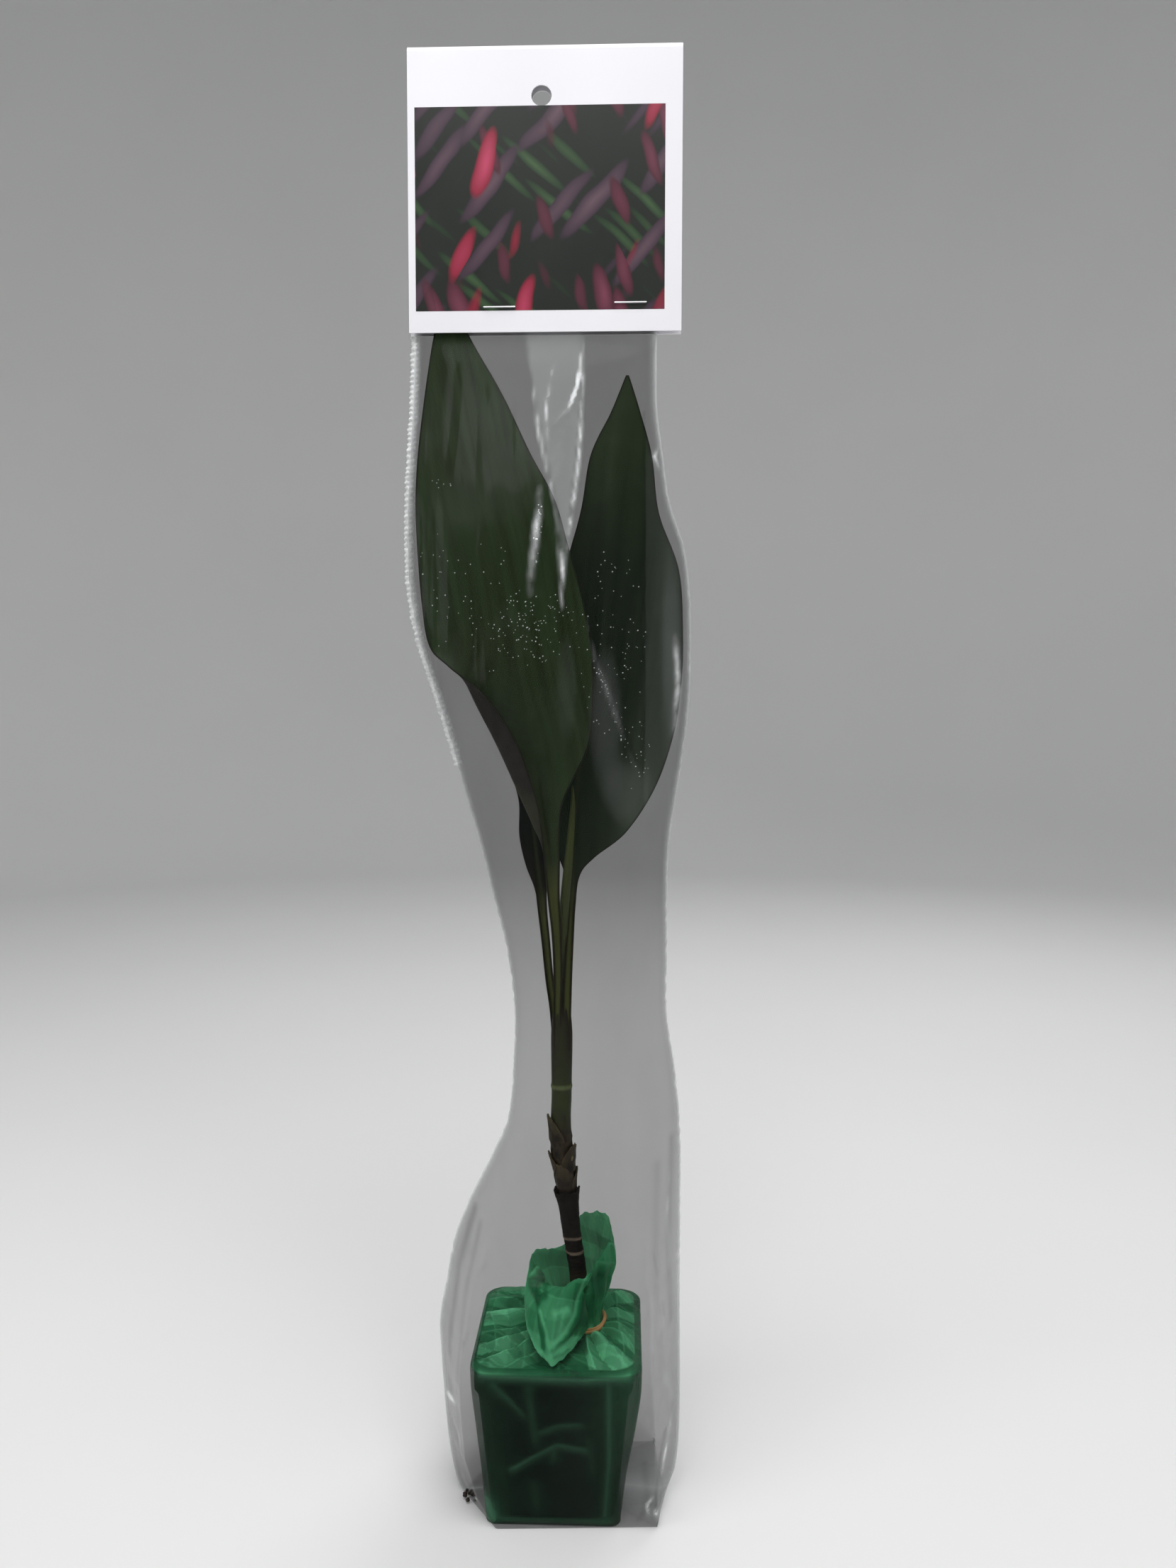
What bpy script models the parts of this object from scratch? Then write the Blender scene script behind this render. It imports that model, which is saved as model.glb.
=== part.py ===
"""A potted ti plant in its retail package: green film wrap, clear sleeve and header card.

Metres, +Z up. The origin is the middle of the pot's footprint on the surface it stands on.
The card and the leaves' upper faces look towards -Y. Lengths below are in millimetres.
"""

import math

import bmesh
import bpy

MM = 0.001
GAP = 0.3

FILM = 0.6
WRAP_FLOOR = FILM + GAP + FILM
POT_FLOOR = WRAP_FLOOR + GAP

POT_BASE_HALF = 25.5
POT_SHOULDER_HALF = 30.4
POT_RIM_HALF = 31.75
POT_SHOULDER_Z = 54.0
POT_RIM_Z = 64.7
POT_WALL = 1.2
POT_CORNER = 9.5
POT_AROUND = 40

SOIL_TOP = 57.0
CANE_X = 10.0
CANE_HOLE_RADIUS = 4.9
CANE_FOOT_Z = 28.0

NECK_X = 9.3
NECK_Z = 70.0
NECK_RADIUS = 9.0
BAND_THICKNESS = 1.6
WRAP_AROUND = 56
WRAP_PLEATS = 14

CARD_WIDTH = 108.0
CARD_X = -4.8
CARD_BOTTOM = 471.7
CARD_TOP = 581.9
CARD_THICKNESS = 0.6
PACK_Y = 5.0
SLEEVE_SLOT = 1.6
FLAT_DEPTH = SLEEVE_SLOT / 2.0 + FILM
CARD_SLOT = SLEEVE_SLOT + 2.0 * FILM + 2.0 * GAP
HANG_HOLE = (-6.0, 562.0)
HANG_HOLE_RADIUS = 4.0

SLEEVE_AROUND = 36
SLEEVE_TOP = 498.0

STAPLE_WIDTH = 12.8
STAPLE_WIRE = 0.6
STAPLE_HOLE_RADIUS = 0.7
STAPLES = {"staple_left": (-22.7, 481.2), "staple_right": (29.1, 482.5)}

# A leaf is a thin blade with a thicker midrib, and solid along its petiole.
BLADE_THICKNESS = 0.7
RIB_THICKNESS = 1.2
RIB_REACH = 0.2
LEAF_FOOT = 1.6
LEAF_FULL = 1.8
LEAF_ACROSS = 10

SHOOT_TOP = 198.0
POCKET_RADIUS = 1.75
POCKET_DEPTH = 9.5
FOOT_GAP = 0.8
FOOT_Z = SHOOT_TOP - POCKET_DEPTH + FOOT_GAP

# The four leaf feet in the top of the shoot, as x and y.
FOOT_FRONT = (0.42, -2.25)
FOOT_RIGHT = (4.17, -1.69)
FOOT_SPEAR = (3.58, 2.25)
FOOT_BACK = (-0.25, 1.58)

# One row per height of a leaf: z, left margin x y, midrib x y, right margin x y,
# how far the left half bellies out of its chord x y, and the thickness at the midrib.
LEAF_FRONT = [
    (FOOT_Z, -0.68, -2.25, 0.42, -2.25, 1.52, -2.25, 0.0, 0.0, 1.6),
    (200.0, -0.68, -2.25, 0.42, -2.25, 1.52, -2.25, 0.0, 0.0, 1.6),
    (212.0, -0.6, -3.2, 0.8, -3.2, 2.2, -3.2, 0.0, 0.0, 1.8),
    (230.0, -1.0, -4.2, 0.5, -4.0, 2.0, -4.2, 0.0, 0.0, 1.7),
    (248.0, -2.8, -4.9, -0.8, -4.5, 1.2, -4.9, -0.3, 0.0, 1.6),
    (266.0, -4.6, -7.0, -3.0, -5.2, 1.4, -6.0, -1.5, 0.0, 1.4),
    (276.0, -5.6, -9.5, -4.6, -6.2, 1.8, -7.2, -7.0, 0.4, 1.3),
    (287.0, -7.4, -12.5, -6.3, -7.2, 3.5, -8.4, -13.0, 1.0, 1.2),
    (308.0, -14.0, -17.5, -9.0, -9.5, 13.2, -11.0, -21.5, 3.2, 1.2),
    (327.0, -26.0, -19.0, -13.6, -12.2, 15.2, -13.0, -22.0, 3.0, 1.2),
    (339.0, -41.0, -17.0, -15.8, -13.6, 15.2, -13.6, -8.0, 1.0, 1.2),
    (347.0, -48.6, -15.4, -17.0, -14.0, 14.6, -13.8, 0.0, 0.5, 1.2),
    (364.0, -51.6, -14.0, -19.4, -14.0, 11.3, -13.6, 0.0, 1.0, 1.2),
    (386.0, -53.6, -12.0, -23.6, -12.6, 5.2, -12.4, 0.0, 1.0, 1.2),
    (404.0, -54.6, -9.0, -28.0, -10.0, -0.2, -10.2, 0.0, 1.0, 1.2),
    (423.0, -54.2, -4.8, -32.4, -6.0, -10.2, -6.0, 0.0, 0.6, 1.1),
    (446.0, -52.6, 1.2, -37.4, 0.4, -21.0, 0.8, 0.0, 0.3, 1.0),
    (466.0, -50.2, 4.5, -41.8, 4.4, -32.4, 4.5, 0.0, 0.0, 0.8),
    (478.0, -47.8, 5.0, -43.2, 5.0, -38.8, 5.0, 0.0, 0.0, 0.7),
    (488.0, -44.8, 5.0, -44.2, 5.0, -43.6, 5.0, 0.0, 0.0, 0.7),
]

LEAF_RIGHT = [
    (FOOT_Z, 3.07, -1.69, 4.17, -1.69, 5.27, -1.69, 0.0, 0.0, 1.6),
    (200.0, 3.07, -1.69, 4.17, -1.69, 5.27, -1.69, 0.0, 0.0, 1.6),
    (212.0, 3.2, -1.6, 4.5, -1.6, 5.8, -1.6, 0.0, 0.0, 1.8),
    (228.0, 4.0, -0.7, 5.3, -0.7, 6.6, -0.7, 0.0, 0.0, 1.7),
    (243.0, 4.6, 1.7, 6.0, 1.9, 7.5, 1.7, 0.0, 0.0, 1.6),
    (255.0, 3.0, 4.2, 6.3, 3.9, 9.4, 4.4, 0.0, 0.0, 1.5),
    (262.0, 0.6, 5.4, 6.5, 4.6, 15.4, 6.2, 0.0, 0.3, 1.4),
    (272.0, -2.6, 6.4, 6.9, 5.2, 28.0, 8.0, 0.0, 0.6, 1.3),
    (290.0, -6.0, 7.4, 8.1, 5.8, 39.8, 10.0, 0.0, 1.0, 1.2),
    (311.0, -7.0, 7.6, 10.2, 6.4, 47.2, 12.0, 0.0, 1.0, 1.2),
    (331.0, -6.0, 7.6, 13.0, 6.6, 50.4, 13.0, 0.0, 1.0, 1.2),
    (352.0, -3.0, 7.0, 16.0, 6.2, 51.2, 14.0, 0.0, 1.0, 1.2),
    (379.0, 3.0, 6.4, 18.9, 5.6, 49.4, 13.6, 0.0, 1.0, 1.2),
    (402.0, 9.4, 5.6, 21.4, 5.0, 41.0, 11.4, 0.0, 0.8, 1.1),
    (424.0, 13.4, 5.0, 24.0, 4.8, 38.0, 8.6, 0.0, 0.5, 1.0),
    (441.0, 21.6, 4.8, 26.6, 4.6, 33.2, 6.0, 0.0, 0.2, 0.8),
    (455.0, 27.4, 4.4, 28.0, 4.4, 28.6, 4.4, 0.0, 0.0, 0.7),
]

LEAF_BACK = [
    (FOOT_Z, -1.35, 1.58, -0.25, 1.58, 0.85, 1.58, 0.0, 0.0, 1.6),
    (200.0, -1.35, 1.58, -0.25, 1.58, 0.85, 1.58, 0.0, 0.0, 1.6),
    (212.0, -4.4, 3.4, -3.1, 3.4, -1.8, 3.4, 0.0, 0.0, 1.8),
    (228.0, -6.3, 5.0, -4.8, 5.0, -3.3, 5.0, 0.0, 0.0, 1.7),
    (240.0, -8.0, 6.2, -6.2, 6.2, -4.4, 6.2, 0.0, 0.0, 1.6),
    (249.0, -9.6, 7.4, -7.2, 7.2, -4.4, 7.6, 0.0, 0.0, 1.5),
    (258.0, -13.2, 8.6, -8.4, 8.2, -3.2, 9.2, 0.0, 0.0, 1.4),
    (270.0, -16.0, 9.8, -9.9, 9.4, -2.0, 11.0, 0.0, 0.4, 1.3),
    (286.0, -16.6, 10.8, -11.7, 10.4, -1.2, 12.4, 0.0, 0.6, 1.2),
    (306.0, -23.4, 10.6, -14.6, 10.8, -1.0, 13.4, 0.0, 0.8, 1.2),
    (326.0, -29.5, 7.0, -17.2, 10.6, -1.2, 13.8, 0.0, 0.8, 1.2),
    (346.0, -33.5, 6.8, -19.2, 10.8, -2.4, 13.8, 0.0, 0.8, 1.1),
    (370.0, -34.5, 7.2, -20.6, 10.6, -5.4, 13.2, 0.0, 0.6, 1.0),
    (395.0, -30.4, 9.4, -21.6, 10.4, -12.6, 12.0, 0.0, 0.3, 0.9),
    (415.0, -23.0, 9.6, -22.4, 9.6, -21.8, 9.6, 0.0, 0.0, 0.7),
]

# The rolled young leaf: z, x, y, radius.
SPEAR = [
    (FOOT_Z, 3.58, 2.25, 1.2),
    (200.0, 3.5, 2.2, 1.25),
    (212.0, 2.7, 1.6, 1.3),
    (228.0, 2.2, 1.0, 1.5),
    (243.0, 3.0, -0.9, 1.7),
    (256.0, 4.2, -2.0, 1.7),
    (271.0, 5.6, -2.8, 1.5),
    (284.0, 6.6, -3.4, 1.0),
    (292.0, 6.6, -3.8, 0.35),
]

# The cane and the shoot: z, x, radius.
CANE = [
    (CANE_FOOT_Z, CANE_X, 3.4),
    (31.0, CANE_X, 4.2),
    (58.0, CANE_X, 4.2),
    (72.0, 9.8, 3.9),
    (84.0, 9.2, 3.7),
    (92.0, 8.5, 3.6),
    (95.2, 8.1, 3.9),
    (96.6, 7.9, 3.9),
    (98.2, 7.5, 3.6),
    (102.2, 6.9, 3.7),
    (103.6, 6.7, 4.0),
    (105.0, 6.5, 4.0),
    (107.0, 6.2, 3.8),
    (112.0, 5.6, 4.0),
    (119.0, 4.8, 4.3),
    (122.4, 4.5, 4.8),
    (124.2, 4.4, 4.5),
]
CANE_SOCKET_X = 4.5
CANE_SOCKET_Z = 116.5
CANE_SOCKET_RADIUS = 3.2

SHOOT = [
    (CANE_SOCKET_Z + GAP, CANE_SOCKET_X, 2.6),
    (118.0, CANE_SOCKET_X, 2.8),
    (124.6, 4.4, 2.8),
    (126.2, 4.1, 3.4),
    (131.0, 3.5, 3.7),
    (136.0, 3.0, 4.1),
    (141.0, 2.5, 4.5),
    (145.5, 2.0, 4.9),
    (149.5, 1.8, 4.5),
    (155.0, 1.6, 4.6),
    (157.5, 1.8, 4.2),
    (163.0, 2.0, 4.1),
    (168.0, 2.0, 4.0),
    (169.4, 2.0, 4.4),
    (171.0, 2.0, 4.1),
    (178.0, 2.0, 4.2),
    (188.0, 2.0, 4.8),
    (195.0, 2.0, 5.2),
    (SHOOT_TOP, 2.0, 5.0),
]
# Two old leaf bases that stand off the shoot: x, z, height, lean from upright in degrees.
STUBS = [(-2.2, 149.5, 12.0, -16.0), (6.3, 143.5, 10.0, 14.0)]
STUB_RADII = (2.2, 0.8)

# The clear sleeve's outer faces: z, left x, left seam y, right x, right seam y,
# depth in front of and behind the seams' chord, how boxed the section is, and where its
# box starts to close on the seam.
SLEEVE = [
    (0.0, -29.0, -4.0, 43.0, -4.0, 24.4, 32.4, 1.0, 0.96),
    (4.0, -33.0, -6.0, 46.0, -6.0, 22.8, 34.6, 1.0, 0.9),
    (12.0, -38.5, -8.0, 49.0, -8.0, 22.0, 38.0, 1.0, 0.82),
    (26.0, -42.5, -8.0, 50.5, -8.0, 23.4, 39.2, 1.0, 0.77),
    (44.0, -45.0, -7.0, 51.0, -6.0, 26.8, 39.8, 1.0, 0.76),
    (58.0, -47.0, -5.0, 51.0, -4.0, 29.8, 38.8, 1.0, 0.75),
    (72.0, -48.0, -3.0, 51.0, -2.0, 31.6, 36.6, 1.0, 0.72),
    (88.0, -45.5, -1.0, 51.0, 0.0, 31.0, 29.0, 0.9, 0.72),
    (104.0, -42.5, 0.0, 51.0, 0.0, 26.0, 25.0, 0.6, 0.72),
    (122.0, -35.5, 0.0, 51.0, 0.0, 20.0, 20.0, 0.3, 0.72),
    (140.0, -26.5, 0.0, 51.0, 0.0, 16.0, 16.0, 0.0, 0.72),
    (156.0, -20.0, 0.0, 50.5, 0.0, 13.0, 13.0, 0.0, 0.72),
    (176.0, -18.0, 0.0, 48.5, 0.0, 12.0, 12.0, 0.0, 0.72),
    (200.0, -17.4, 0.0, 45.0, 0.0, 12.0, 12.5, 0.0, 0.72),
    (225.0, -20.5, 0.0, 45.0, 1.0, 14.0, 14.5, 0.0, 0.72),
    (248.0, -26.0, -1.0, 45.0, 4.0, 17.0, 16.0, 0.0, 0.72),
    (268.0, -30.5, -3.0, 45.8, 7.0, 19.5, 17.0, 0.0, 0.72),
    (288.0, -36.0, -5.0, 48.8, 10.0, 22.0, 21.0, 0.0, 0.72),
    (308.0, -41.0, -8.0, 52.0, 12.0, 23.5, 22.0, 0.0, 0.72),
    (328.0, -46.5, -11.0, 54.0, 13.0, 23.0, 23.0, 0.0, 0.72),
    (348.0, -52.8, -12.0, 54.5, 14.0, 21.5, 23.5, 0.0, 0.72),
    (368.0, -56.6, -11.0, 54.0, 13.5, 20.5, 22.5, 0.0, 0.72),
    (388.0, -57.8, -9.0, 51.5, 12.5, 19.0, 20.0, 0.0, 0.72),
    (406.0, -57.8, -7.0, 45.5, 11.0, 16.0, 17.5, 0.0, 0.72),
    (424.0, -57.5, -3.5, 42.5, 9.0, 12.0, 13.0, 0.0, 0.72),
    (442.0, -57.2, 1.0, 40.0, 6.5, 8.0, 6.5, 0.0, 0.8),
    (458.0, -57.2, 4.0, 39.6, 5.2, 4.6, 3.6, 0.2, 0.9),
    (470.6, -57.2, 5.0, 39.6, 5.0, FLAT_DEPTH, FLAT_DEPTH, 1.0, 0.985),
    (484.0, -57.2, 5.0, 39.6, 5.0, FLAT_DEPTH, FLAT_DEPTH, 1.0, 0.985),
    (SLEEVE_TOP, -57.2, 5.0, 39.6, 5.0, FLAT_DEPTH, FLAT_DEPTH, 1.0, 0.985),
]


def clear_scene():
    for obj in list(bpy.data.objects):
        bpy.data.objects.remove(obj, do_unlink=True)


def new_collection(name, helper=False):
    collection = bpy.data.collections.new(name)
    collection.hide_render = helper
    bpy.context.scene.collection.children.link(collection)
    return collection


def new_material(name, colour, roughness, metallic=0.0):
    material = bpy.data.materials.new(name)
    material.use_nodes = True
    shader = material.node_tree.nodes["Principled BSDF"]
    shader.inputs["Base Color"].default_value = (*colour, 1.0)
    shader.inputs["Roughness"].default_value = roughness
    shader.inputs["Metallic"].default_value = metallic
    return material


def file_in(obj, name, collection):
    """Name an object and keep it in one collection only."""
    obj.name = name
    obj.data.name = name
    for other in list(obj.users_collection):
        other.objects.unlink(obj)
    collection.objects.link(obj)
    return obj


def formed_grid(name, across, along, point):
    """A grid primitive bent to point(i, j), with the vertices that meet made one."""
    bpy.ops.mesh.primitive_grid_add(x_subdivisions=across, y_subdivisions=along, size=2.0)
    obj = bpy.context.object
    for vertex in obj.data.vertices:
        i = round((vertex.co.x + 1.0) / 2.0 * across)
        j = round((vertex.co.y + 1.0) / 2.0 * along)
        x, y, z = point(i, j)
        vertex.co = (x * MM, y * MM, z * MM)
    shape = bmesh.new()
    shape.from_mesh(obj.data)
    bmesh.ops.remove_doubles(shape, verts=shape.verts, dist=1e-6)
    bmesh.ops.recalc_face_normals(shape, faces=shape.faces)
    shape.to_mesh(obj.data)
    shape.free()
    return file_in(obj, name, PARTS)


def solidify(obj, thickness, offset):
    """Split the faces first, so that both sides of the sheet are split alike."""
    obj.modifiers.new("Split", "TRIANGULATE")
    sheet = obj.modifiers.new("Thickness", "SOLIDIFY")
    sheet.thickness = thickness * MM
    sheet.offset = offset
    return sheet


def cutter_cylinder(name, radius, start, end, sides=24):
    """A helper cylinder between two points."""
    middle = [(a + b) / 2.0 * MM for a, b in zip(start, end)]
    reach = [b - a for a, b in zip(start, end)]
    length = math.hypot(*reach)
    bpy.ops.mesh.primitive_cylinder_add(
        vertices=sides, radius=radius * MM, depth=length * MM, location=middle
    )
    tool = file_in(bpy.context.object, name, CUTTERS)
    tool.rotation_euler = (
        0.0,
        math.acos(reach[2] / length),
        math.atan2(reach[1], reach[0]),
    )
    return helper(tool)


def helper(tool):
    tool.hide_render = True
    tool.display_type = "WIRE"
    return tool


def boolean(obj, tool, operation, solver="EXACT"):
    step = obj.modifiers.new(tool.name, "BOOLEAN")
    step.operation = operation
    step.solver = solver
    step.object = tool


def along_rows(rows, place):
    """The row at a fractional place, on a smooth curve through the rows."""
    start = min(int(place), len(rows) - 2)
    part = place - start
    before = rows[max(start - 1, 0)]
    here = rows[start]
    after = rows[start + 1]
    beyond = rows[min(start + 2, len(rows) - 1)]
    smooth = []
    for a, b, c, d in zip(before, here, after, beyond):
        value = 2.0 * b + (c - a) * part
        value += (2.0 * a - 5.0 * b + 4.0 * c - d) * part**2
        value += (3.0 * b - a - 3.0 * c + d) * part**3
        smooth.append(value / 2.0)
    return smooth


def square_radius(angle, half, corner):
    """Distance from the middle of a rounded square to its edge at an angle."""
    run = abs(math.cos(angle))
    rise = abs(math.sin(angle))
    longer = max(run, rise)
    inner = half - corner
    if half * min(run, rise) / longer <= inner:
        return half / longer
    reach = inner * (run + rise)
    return reach + math.sqrt(reach**2 - 2.0 * inner**2 + corner**2)


def ring_angle(i, around):
    """Angles round a ring, closer together at the four corners."""
    turn = 2.0 * math.pi * (i % around) / around
    return turn + 0.12 * math.sin(4.0 * turn)


def square_point(i, around, half, corner, z):
    angle = ring_angle(i, around)
    reach = square_radius(angle, half, min(corner, half))
    return reach * math.cos(angle), reach * math.sin(angle), z


def make_pot():
    inner_base = POT_BASE_HALF - POT_WALL
    rows = [
        (0.001, POT_FLOOR),
        (POT_BASE_HALF - 1.0, POT_FLOOR),
        (POT_BASE_HALF, POT_FLOOR + 1.0),
        (POT_SHOULDER_HALF, POT_SHOULDER_Z),
        (POT_RIM_HALF, POT_SHOULDER_Z + 0.8),
        (POT_RIM_HALF, POT_RIM_Z - 0.4),
        (POT_RIM_HALF - 0.4, POT_RIM_Z),
        (POT_RIM_HALF - POT_WALL, POT_RIM_Z),
        (POT_RIM_HALF - POT_WALL, POT_SHOULDER_Z + 0.8),
        (POT_SHOULDER_HALF - POT_WALL, POT_SHOULDER_Z),
        (inner_base, POT_FLOOR + POT_WALL),
        (0.001, POT_FLOOR + POT_WALL),
    ]

    def point(i, j):
        half, z = rows[j]
        if half < 1.0:
            return 0.0, 0.0, z
        return square_point(i, POT_AROUND, half, POT_CORNER * half / POT_RIM_HALF, z)

    pot = formed_grid("pot", POT_AROUND, len(rows) - 1, point)
    pot.data.materials.append(new_material("pot_plastic", (0.012, 0.016, 0.014), 0.5))
    return pot


def make_soil():
    floor = POT_FLOOR + POT_WALL + GAP
    slope = (POT_SHOULDER_HALF - POT_BASE_HALF) / (POT_SHOULDER_Z - POT_FLOOR)
    base = POT_BASE_HALF - POT_WALL - GAP - 0.1
    top = POT_SHOULDER_HALF - POT_WALL - GAP
    rows = [
        (0.0, floor, 0.0),
        (base + slope, floor, 0.0),
        (top - 0.2, POT_SHOULDER_Z - 0.5, 0.0),
        (top - 0.4, SOIL_TOP - 0.5, 0.0),
        (20.0, SOIL_TOP, 0.0),
        (CANE_HOLE_RADIUS, SOIL_TOP + 0.4, 1.0),
        (CANE_HOLE_RADIUS, CANE_FOOT_Z - GAP, 1.0),
        (0.0, CANE_FOOT_Z - GAP, 1.0),
    ]

    def point(i, j):
        size, z, shift = rows[j]
        if size == 0.0:
            return CANE_X * shift, 0.0, z
        if shift:
            angle = ring_angle(i, POT_AROUND)
            return CANE_X + size * math.cos(angle), size * math.sin(angle), z
        return square_point(i, POT_AROUND, size, POT_CORNER * size / POT_RIM_HALF, z)

    soil = formed_grid("soil", POT_AROUND, len(rows) - 1, point)
    soil.data.materials.append(new_material("potting_mix", (0.035, 0.022, 0.014), 0.95))
    return soil


def round_rod(name, rows, around, lumps=0.0):
    """A closed rod through rows of z, x, radius, with a few long ridges."""

    def point(i, j):
        z, x, radius = rows[min(max(j - 1, 0), len(rows) - 1)]
        if j in (0, len(rows) + 1):
            return x, 0.0, z
        angle = 2.0 * math.pi * (i % around) / around
        reach = radius * (1.0 + lumps * math.sin(3.0 * angle + 0.07 * z))
        return x + reach * math.cos(angle), reach * math.sin(angle), z

    return formed_grid(name, around, len(rows) + 1, point)


def make_cane():
    cane = round_rod("cane", CANE, 16, 0.02)
    socket = cutter_cylinder(
        "cane_socket",
        CANE_SOCKET_RADIUS,
        (CANE_SOCKET_X, 0.0, CANE_SOCKET_Z),
        (CANE_SOCKET_X, 0.0, 140.0),
    )
    boolean(cane, socket, "DIFFERENCE")
    cane.data.materials.append(new_material("cane_bark", (0.05, 0.035, 0.028), 0.8))
    return cane


def make_shoot():
    shoot = round_rod("shoot", SHOOT, 16)
    for number, (x, z, height, lean) in enumerate(STUBS):
        bpy.ops.mesh.primitive_cone_add(
            vertices=10,
            radius1=STUB_RADII[0] * MM,
            radius2=STUB_RADII[1] * MM,
            depth=height * MM,
            location=(x * MM, -1.0 * MM, z * MM),
            rotation=(0.0, math.radians(lean), 0.0),
        )
        stub = helper(file_in(bpy.context.object, f"stub_{number}", CUTTERS))
        boolean(shoot, stub, "UNION")
    for number, (x, y) in enumerate((FOOT_FRONT, FOOT_RIGHT, FOOT_SPEAR, FOOT_BACK)):
        pocket = cutter_cylinder(
            f"leaf_pocket_{number}",
            POCKET_RADIUS,
            (x, y, SHOOT_TOP - POCKET_DEPTH),
            (x, y, SHOOT_TOP + 4.0),
            16,
        )
        boolean(shoot, pocket, "DIFFERENCE")
    shoot.data.materials.append(new_material("shoot_skin", (0.12, 0.16, 0.05), 0.5))
    return shoot


def make_leaf(name, rows, along, material):
    """A blade bent through its rows, thick along the petiole and thin at the margins."""
    half = LEAF_ACROSS // 2
    thickness = {}

    def point(i, j):
        row = along_rows(rows, j * (len(rows) - 1) / along)
        z, left_x, left_y, mid_x, mid_y, right_x, right_y, belly_x, belly_y, thick = row
        side = (i - half) / half
        reach = abs(side)
        if side < 0.0:
            end_x, end_y = left_x, left_y
            bend_x, bend_y = belly_x, belly_y
        else:
            end_x, end_y = right_x, right_y
            bend_x, bend_y = 0.0, belly_y
        hump = 2.0 * reach * (1.0 - reach)
        x = mid_x + (end_x - mid_x) * reach + bend_x * hump
        y = mid_y + (end_y - mid_y) * reach + bend_y * hump
        petiole = min(max((thick - RIB_THICKNESS) / (LEAF_FOOT - RIB_THICKNESS), 0.0), 1.0)
        blade = BLADE_THICKNESS + (thick - BLADE_THICKNESS) * petiole
        rib = max(1.0 - reach / RIB_REACH, 0.0)
        thickness[i, j] = (blade + (thick - blade) * rib) / LEAF_FULL
        return x, y, z

    leaf = formed_grid(name, LEAF_ACROSS, along, point)
    # The grid keeps its order of vertices, row by row, since none of them meet.
    group = leaf.vertex_groups.new(name="thickness")
    for index in range(len(leaf.data.vertices)):
        i = index % (LEAF_ACROSS + 1)
        j = index // (LEAF_ACROSS + 1)
        group.add([index], thickness[i, j], "REPLACE")
    sheet = solidify(leaf, LEAF_FULL, 0.0)
    sheet.vertex_group = group.name
    leaf.data.materials.append(material)
    return leaf


def bent_wire(name, points, radii, sides):
    """A curve with a round bevel, made a mesh."""
    curve = bpy.data.curves.new(name, "CURVE")
    curve.dimensions = "3D"
    curve.bevel_depth = MM
    curve.bevel_resolution = sides // 4
    curve.use_fill_caps = True
    spline = curve.splines.new("POLY")
    spline.points.add(len(points) - 1)
    for end, (x, y, z), radius in zip(spline.points, points, radii):
        end.co = (x * MM, y * MM, z * MM, 1.0)
        end.radius = radius
    source = bpy.data.objects.new(name + "_curve", curve)
    CUTTERS.objects.link(source)
    helper(source)
    graph = bpy.context.evaluated_depsgraph_get()
    mesh = bpy.data.meshes.new_from_object(source.evaluated_get(graph))
    shape = bmesh.new()
    shape.from_mesh(mesh)
    bmesh.ops.remove_doubles(shape, verts=shape.verts, dist=1e-6)
    bmesh.ops.recalc_face_normals(shape, faces=shape.faces)
    shape.to_mesh(mesh)
    shape.free()
    wire = bpy.data.objects.new(name, mesh)
    PARTS.objects.link(wire)
    return wire


def make_spear():
    rows = [along_rows(SPEAR, step * (len(SPEAR) - 1) / 16) for step in range(17)]
    points = [(x, y, z) for z, x, y, radius in rows]
    spear = bent_wire("spear_leaf", points, [row[3] for row in rows], 8)
    spear.data.materials.append(new_material("young_leaf", (0.28, 0.42, 0.06), 0.45))
    return spear


def pleat(angle, amount):
    return amount * math.cos(WRAP_PLEATS * angle)


def bump(angle, centre, width):
    """1 at an angle in degrees, falling smoothly to 0 one width away."""
    away = abs((math.degrees(angle) - centre + 180.0) % 360.0 - 180.0) / width
    return 0.5 + 0.5 * math.cos(math.pi * min(away, 1.0))


def flare_point(angle, share):
    """The loose film above the band: high at the back right, a lobe over the front."""
    top = 92.0 + 19.0 * bump(angle, 30.0, 115.0) - 4.0 * bump(angle, 290.0, 50.0)
    reach = NECK_RADIUS + 8.4 * share**0.7 + pleat(angle, 0.35)
    height = NECK_Z + 1.5 + (top - NECK_Z - 1.5) * share
    lobe = bump(angle, 252.0, 48.0)
    if lobe > 0.0:
        out = [NECK_RADIUS, 15.0, 25.0, 32.6]
        up = [NECK_Z + 1.5, 94.0, 91.0, 70.0]
        weights = [
            (1.0 - share) ** 3,
            3.0 * share * (1.0 - share) ** 2,
            3.0 * share**2 * (1.0 - share),
            share**3,
        ]
        lobe_reach = sum(w * v for w, v in zip(weights, out))
        lobe_height = sum(w * v for w, v in zip(weights, up))
        reach += (lobe_reach - reach) * lobe
        height += (lobe_height - height) * lobe
    x = NECK_X - 2.0 * share + reach * math.cos(angle)
    return x, reach * math.sin(angle), height


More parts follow.
